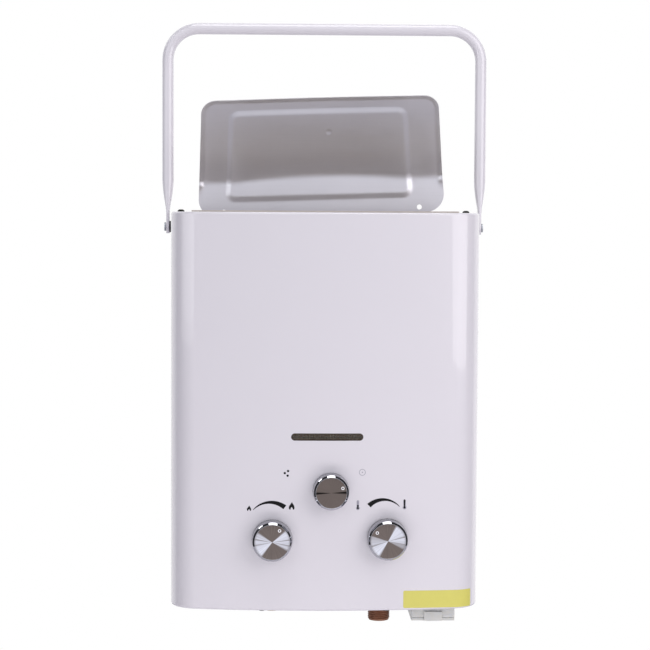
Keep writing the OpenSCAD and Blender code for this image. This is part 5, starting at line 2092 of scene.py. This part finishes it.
@dataclass
class Studio:
    """The camera, the lamps, the pale floor and the white surroundings.

    The surroundings change with a direction's Y, from in front to behind. Shiny things see white
    between the two values of white_from on, and before that a room whose strength falls from
    room_near to room_far over room_run. Dull things get the strengths of ambient over ambient_run.
    """

    lens: float = 102.55
    sensor: float = 36.0
    camera_at: Point = (-0.048, -1.83, 0.370)
    tilt_deg: float = -3.484
    yaw_deg: float = -1.585
    roll_deg: float = 0.3
    clip: Flat = (0.05, 30.0)
    lamps: tuple[Softbox, ...] = (
        Softbox("left_softbox", (-1.02, -1.0, 0.86), (0, -0.1, 0.5), (1.15, 1.4), 2.6, "F8F9FF"),
        Softbox("right_softbox", (1.02, -1.0, 0.78), (0, -0.1, 0.42), (1.15, 1.4), 9.4, "FFFBFD"),
        Softbox("top_softbox", (0.05, -0.38, 1.7), (0, -0.1, 0.2), (0.9, 0.7), 7.0),
        Softbox("edge_strip", (-1.25, -0.06, 1.35), (0, -0.13, 0.1), (0.2, 0.5), 1.2),
        Softbox(
            "low_softbox", (0.05, -0.95, -0.42), (0, -0.13, 0.1), (1.3, 0.35), 3.6, "FFFAF9",
            mirrored=False,
        ),
        Softbox(
            "left_card", (-1.174, -0.898, 0.39), (-0.204, -0.028, 0.39), (1.28, 0.47), 1.5, card=True
        ),
    )
    white_from: Flat = (0.2, 0.5)
    room_run: Flat = (-0.95, -0.15)
    room_near: float = 1.0
    room_far: float = 0.05
    ambient_run: Flat = (-0.2, 0.6)
    ambient: Flat = (0.39, 0.85)
    tint: str = "F2F2FA"
    floor_z: float = -0.60
    floor_size: float = 3.2
    floor_colour: str = "DAD8DD"
    floor_roughness: float = 0.9

    def build(self) -> None:
        """Sets up everything that isn't part of the object."""
        self.camera()
        for lamp in self.lamps:
            lamp.build()
        self.world()
        self.floor()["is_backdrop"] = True

    def camera(self) -> None:
        """Places the camera level with the case's top edge, tilted down a little."""
        data = bpy.data.cameras.new("camera")
        data.lens, data.sensor_width = self.lens, self.sensor
        data.clip_start, data.clip_end = self.clip
        camera = bpy.data.objects.new("camera", data)
        bpy.context.scene.collection.objects.link(camera)
        turn = (
            Matrix.Rotation(math.radians(self.yaw_deg), 4, "Z")
            @ Matrix.Rotation(math.radians(90 + self.tilt_deg), 4, "X")
            @ Matrix.Rotation(math.radians(self.roll_deg), 4, "Z")
        )
        camera.matrix_world = Matrix.Translation(self.camera_at) @ turn
        bpy.context.scene.camera = camera

    def world(self) -> None:
        """White surroundings that the camera, glass and metal see, and a dim room in front."""
        world = bpy.data.worlds.new("studio")
        bpy.context.scene.world = world
        world.use_nodes = True
        tree = world.node_tree
        tree.nodes.clear()
        rays = add_node(tree, "ShaderNodeLightPath").outputs
        way = add_node(tree, "ShaderNodeTexCoord").outputs["Generated"]
        depth = add_node(tree, "ShaderNodeSeparateXYZ", {0: way}).outputs["Y"]
        start, end = self.white_from
        behind = add_node(tree, "ShaderNodeMapRange", {0: depth, 1: start, 2: end})
        glossy = add_node(
            tree, "ShaderNodeMath", {0: rays["Is Glossy Ray"], 1: behind.outputs[0]},
            operation="MULTIPLY",
        )
        seen = add_node(
            tree, "ShaderNodeMath", {0: rays["Is Camera Ray"], 1: rays["Is Transmission Ray"]},
            operation="MAXIMUM",
        )
        white = add_node(
            tree, "ShaderNodeMath", {0: seen.outputs[0], 1: glossy.outputs[0]}, operation="MAXIMUM"
        )
        start, end = self.room_run
        near = add_node(
            tree, "ShaderNodeMapRange",
            {0: depth, 1: start, 2: end, 3: self.room_near, 4: self.room_far},
        )
        start, end = self.ambient_run
        around = add_node(
            tree, "ShaderNodeMapRange",
            {0: depth, 1: start, 2: end, 3: self.ambient[0], 4: self.ambient[1]},
        )
        shared = add_node(
            tree, "ShaderNodeMix",
            {0: rays["Is Diffuse Ray"], 2: near.outputs[0], 3: around.outputs[0]}, data_type="FLOAT",
        )
        dim = add_node(
            tree, "ShaderNodeBackground", {"Color": linear(self.tint), "Strength": shared.outputs[0]}
        )
        bright = add_node(tree, "ShaderNodeBackground", {"Color": (1, 1, 1, 1), "Strength": 1.0})
        mixed = add_node(
            tree, "ShaderNodeMixShader", {0: white.outputs[0], 1: dim.outputs[0], 2: bright.outputs[0]}
        )
        add_node(tree, "ShaderNodeOutputWorld", {0: mixed.outputs[0]})

    def floor(self) -> Piece:
        """A pale floor below, white to the camera and clear from underneath.

        Returns:
            The floor.
        """
        deselect()
        bpy.ops.mesh.primitive_plane_add(size=self.floor_size, location=(0, 0, self.floor_z))
        floor = named(bpy.context.object, "floor")
        material = bpy.data.materials.new("pale_studio_floor")
        material.use_nodes = True
        tree = material.node_tree
        bsdf = tree.nodes["Principled BSDF"]
        bsdf.inputs["Base Color"].default_value = linear(self.floor_colour)
        bsdf.inputs["Roughness"].default_value = self.floor_roughness
        rays = add_node(tree, "ShaderNodeLightPath")
        glow = add_node(
            tree, "ShaderNodeEmission",
            {"Color": (1, 1, 1, 1), "Strength": rays.outputs["Is Camera Ray"]},
        )
        both = add_node(tree, "ShaderNodeAddShader", {0: bsdf.outputs[0], 1: glow.outputs[0]})
        under = add_node(tree, "ShaderNodeNewGeometry").outputs["Backfacing"]
        clear = add_node(tree, "ShaderNodeBsdfTransparent")
        shown = add_node(
            tree, "ShaderNodeMixShader", {0: under, 1: both.outputs[0], 2: clear.outputs[0]}
        )
        tree.links.new(shown.outputs[0], tree.nodes["Material Output"].inputs["Surface"])
        floor.data.materials.append(material)
        return floor


# ---- The heater -----------------------------------------------------------------------------


def corners() -> dict[str, list[float]]:
    """The shown object's lowest and highest corner, as plain numbers."""
    low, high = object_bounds()
    return {"low": [float(c) for c in low], "high": [float(c) for c in high]}


def main() -> None:
    """Builds the studio and every sub-assembly in order, and reports each piece."""
    logging.basicConfig(level=logging.INFO, format="%(name)s: %(message)s")
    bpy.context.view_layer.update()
    scene = bpy.context.scene
    scene.view_settings.view_transform = "Standard"
    Studio().build()
    assemblies = [
        InnerWorks(),
        PanelWork(),
        CaseShell(),
        WindowGauze(),
        PrintedMarks(),
        YellowSticker(),
        CoverScrews(),
        CarryHandle(),
        RainHood(),
        ControlKnob(
            "flame_knob", FLAME_KNOB, radius=19.0, base_y=-129.79, mark_deg=32.0, face=FLAME_FACE
        ),
        ControlKnob(
            "water_knob", WATER_KNOB, radius=19.0, base_y=-129.39, mark_deg=-52.6, face=WATER_FACE
        ),
        ControlKnob(
            "season_knob", SEASON_KNOB, radius=17.0, base_y=-130.4, mark_deg=66.8, face=SEASON_FACE
        ),
        ThreadedStub(
            "water_inlet", (53.7, -70.0), thread_r=10.45, drop=20.4, top_z=50.0, pitch=1.81,
            finish=BROWNED_BRASS, slot="copper",
        ),
        ThreadedStub(
            "water_outlet", (-113.0, -37.0), thread_r=10.45, drop=15.0, top_z=24.0, pitch=1.81,
            finish=BRASS, slot="brass",
        ),
        ThreadedStub(
            "gas_inlet", (-48.8, -78.0), thread_r=9.0, drop=9.0, top_z=48.0, pitch=1.5,
            finish=BRASS, slot="brass",
        ),
        DrainPlug(),
        BatteryBox(),
    ]
    for assembly in assemblies:
        pieces = assembly.build()
        LOG.info("%s: %s", type(assembly).__name__, ", ".join(p.name for p in pieces))
    bpy.context.view_layer.update()
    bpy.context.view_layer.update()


if __name__ == "__main__":
    main()
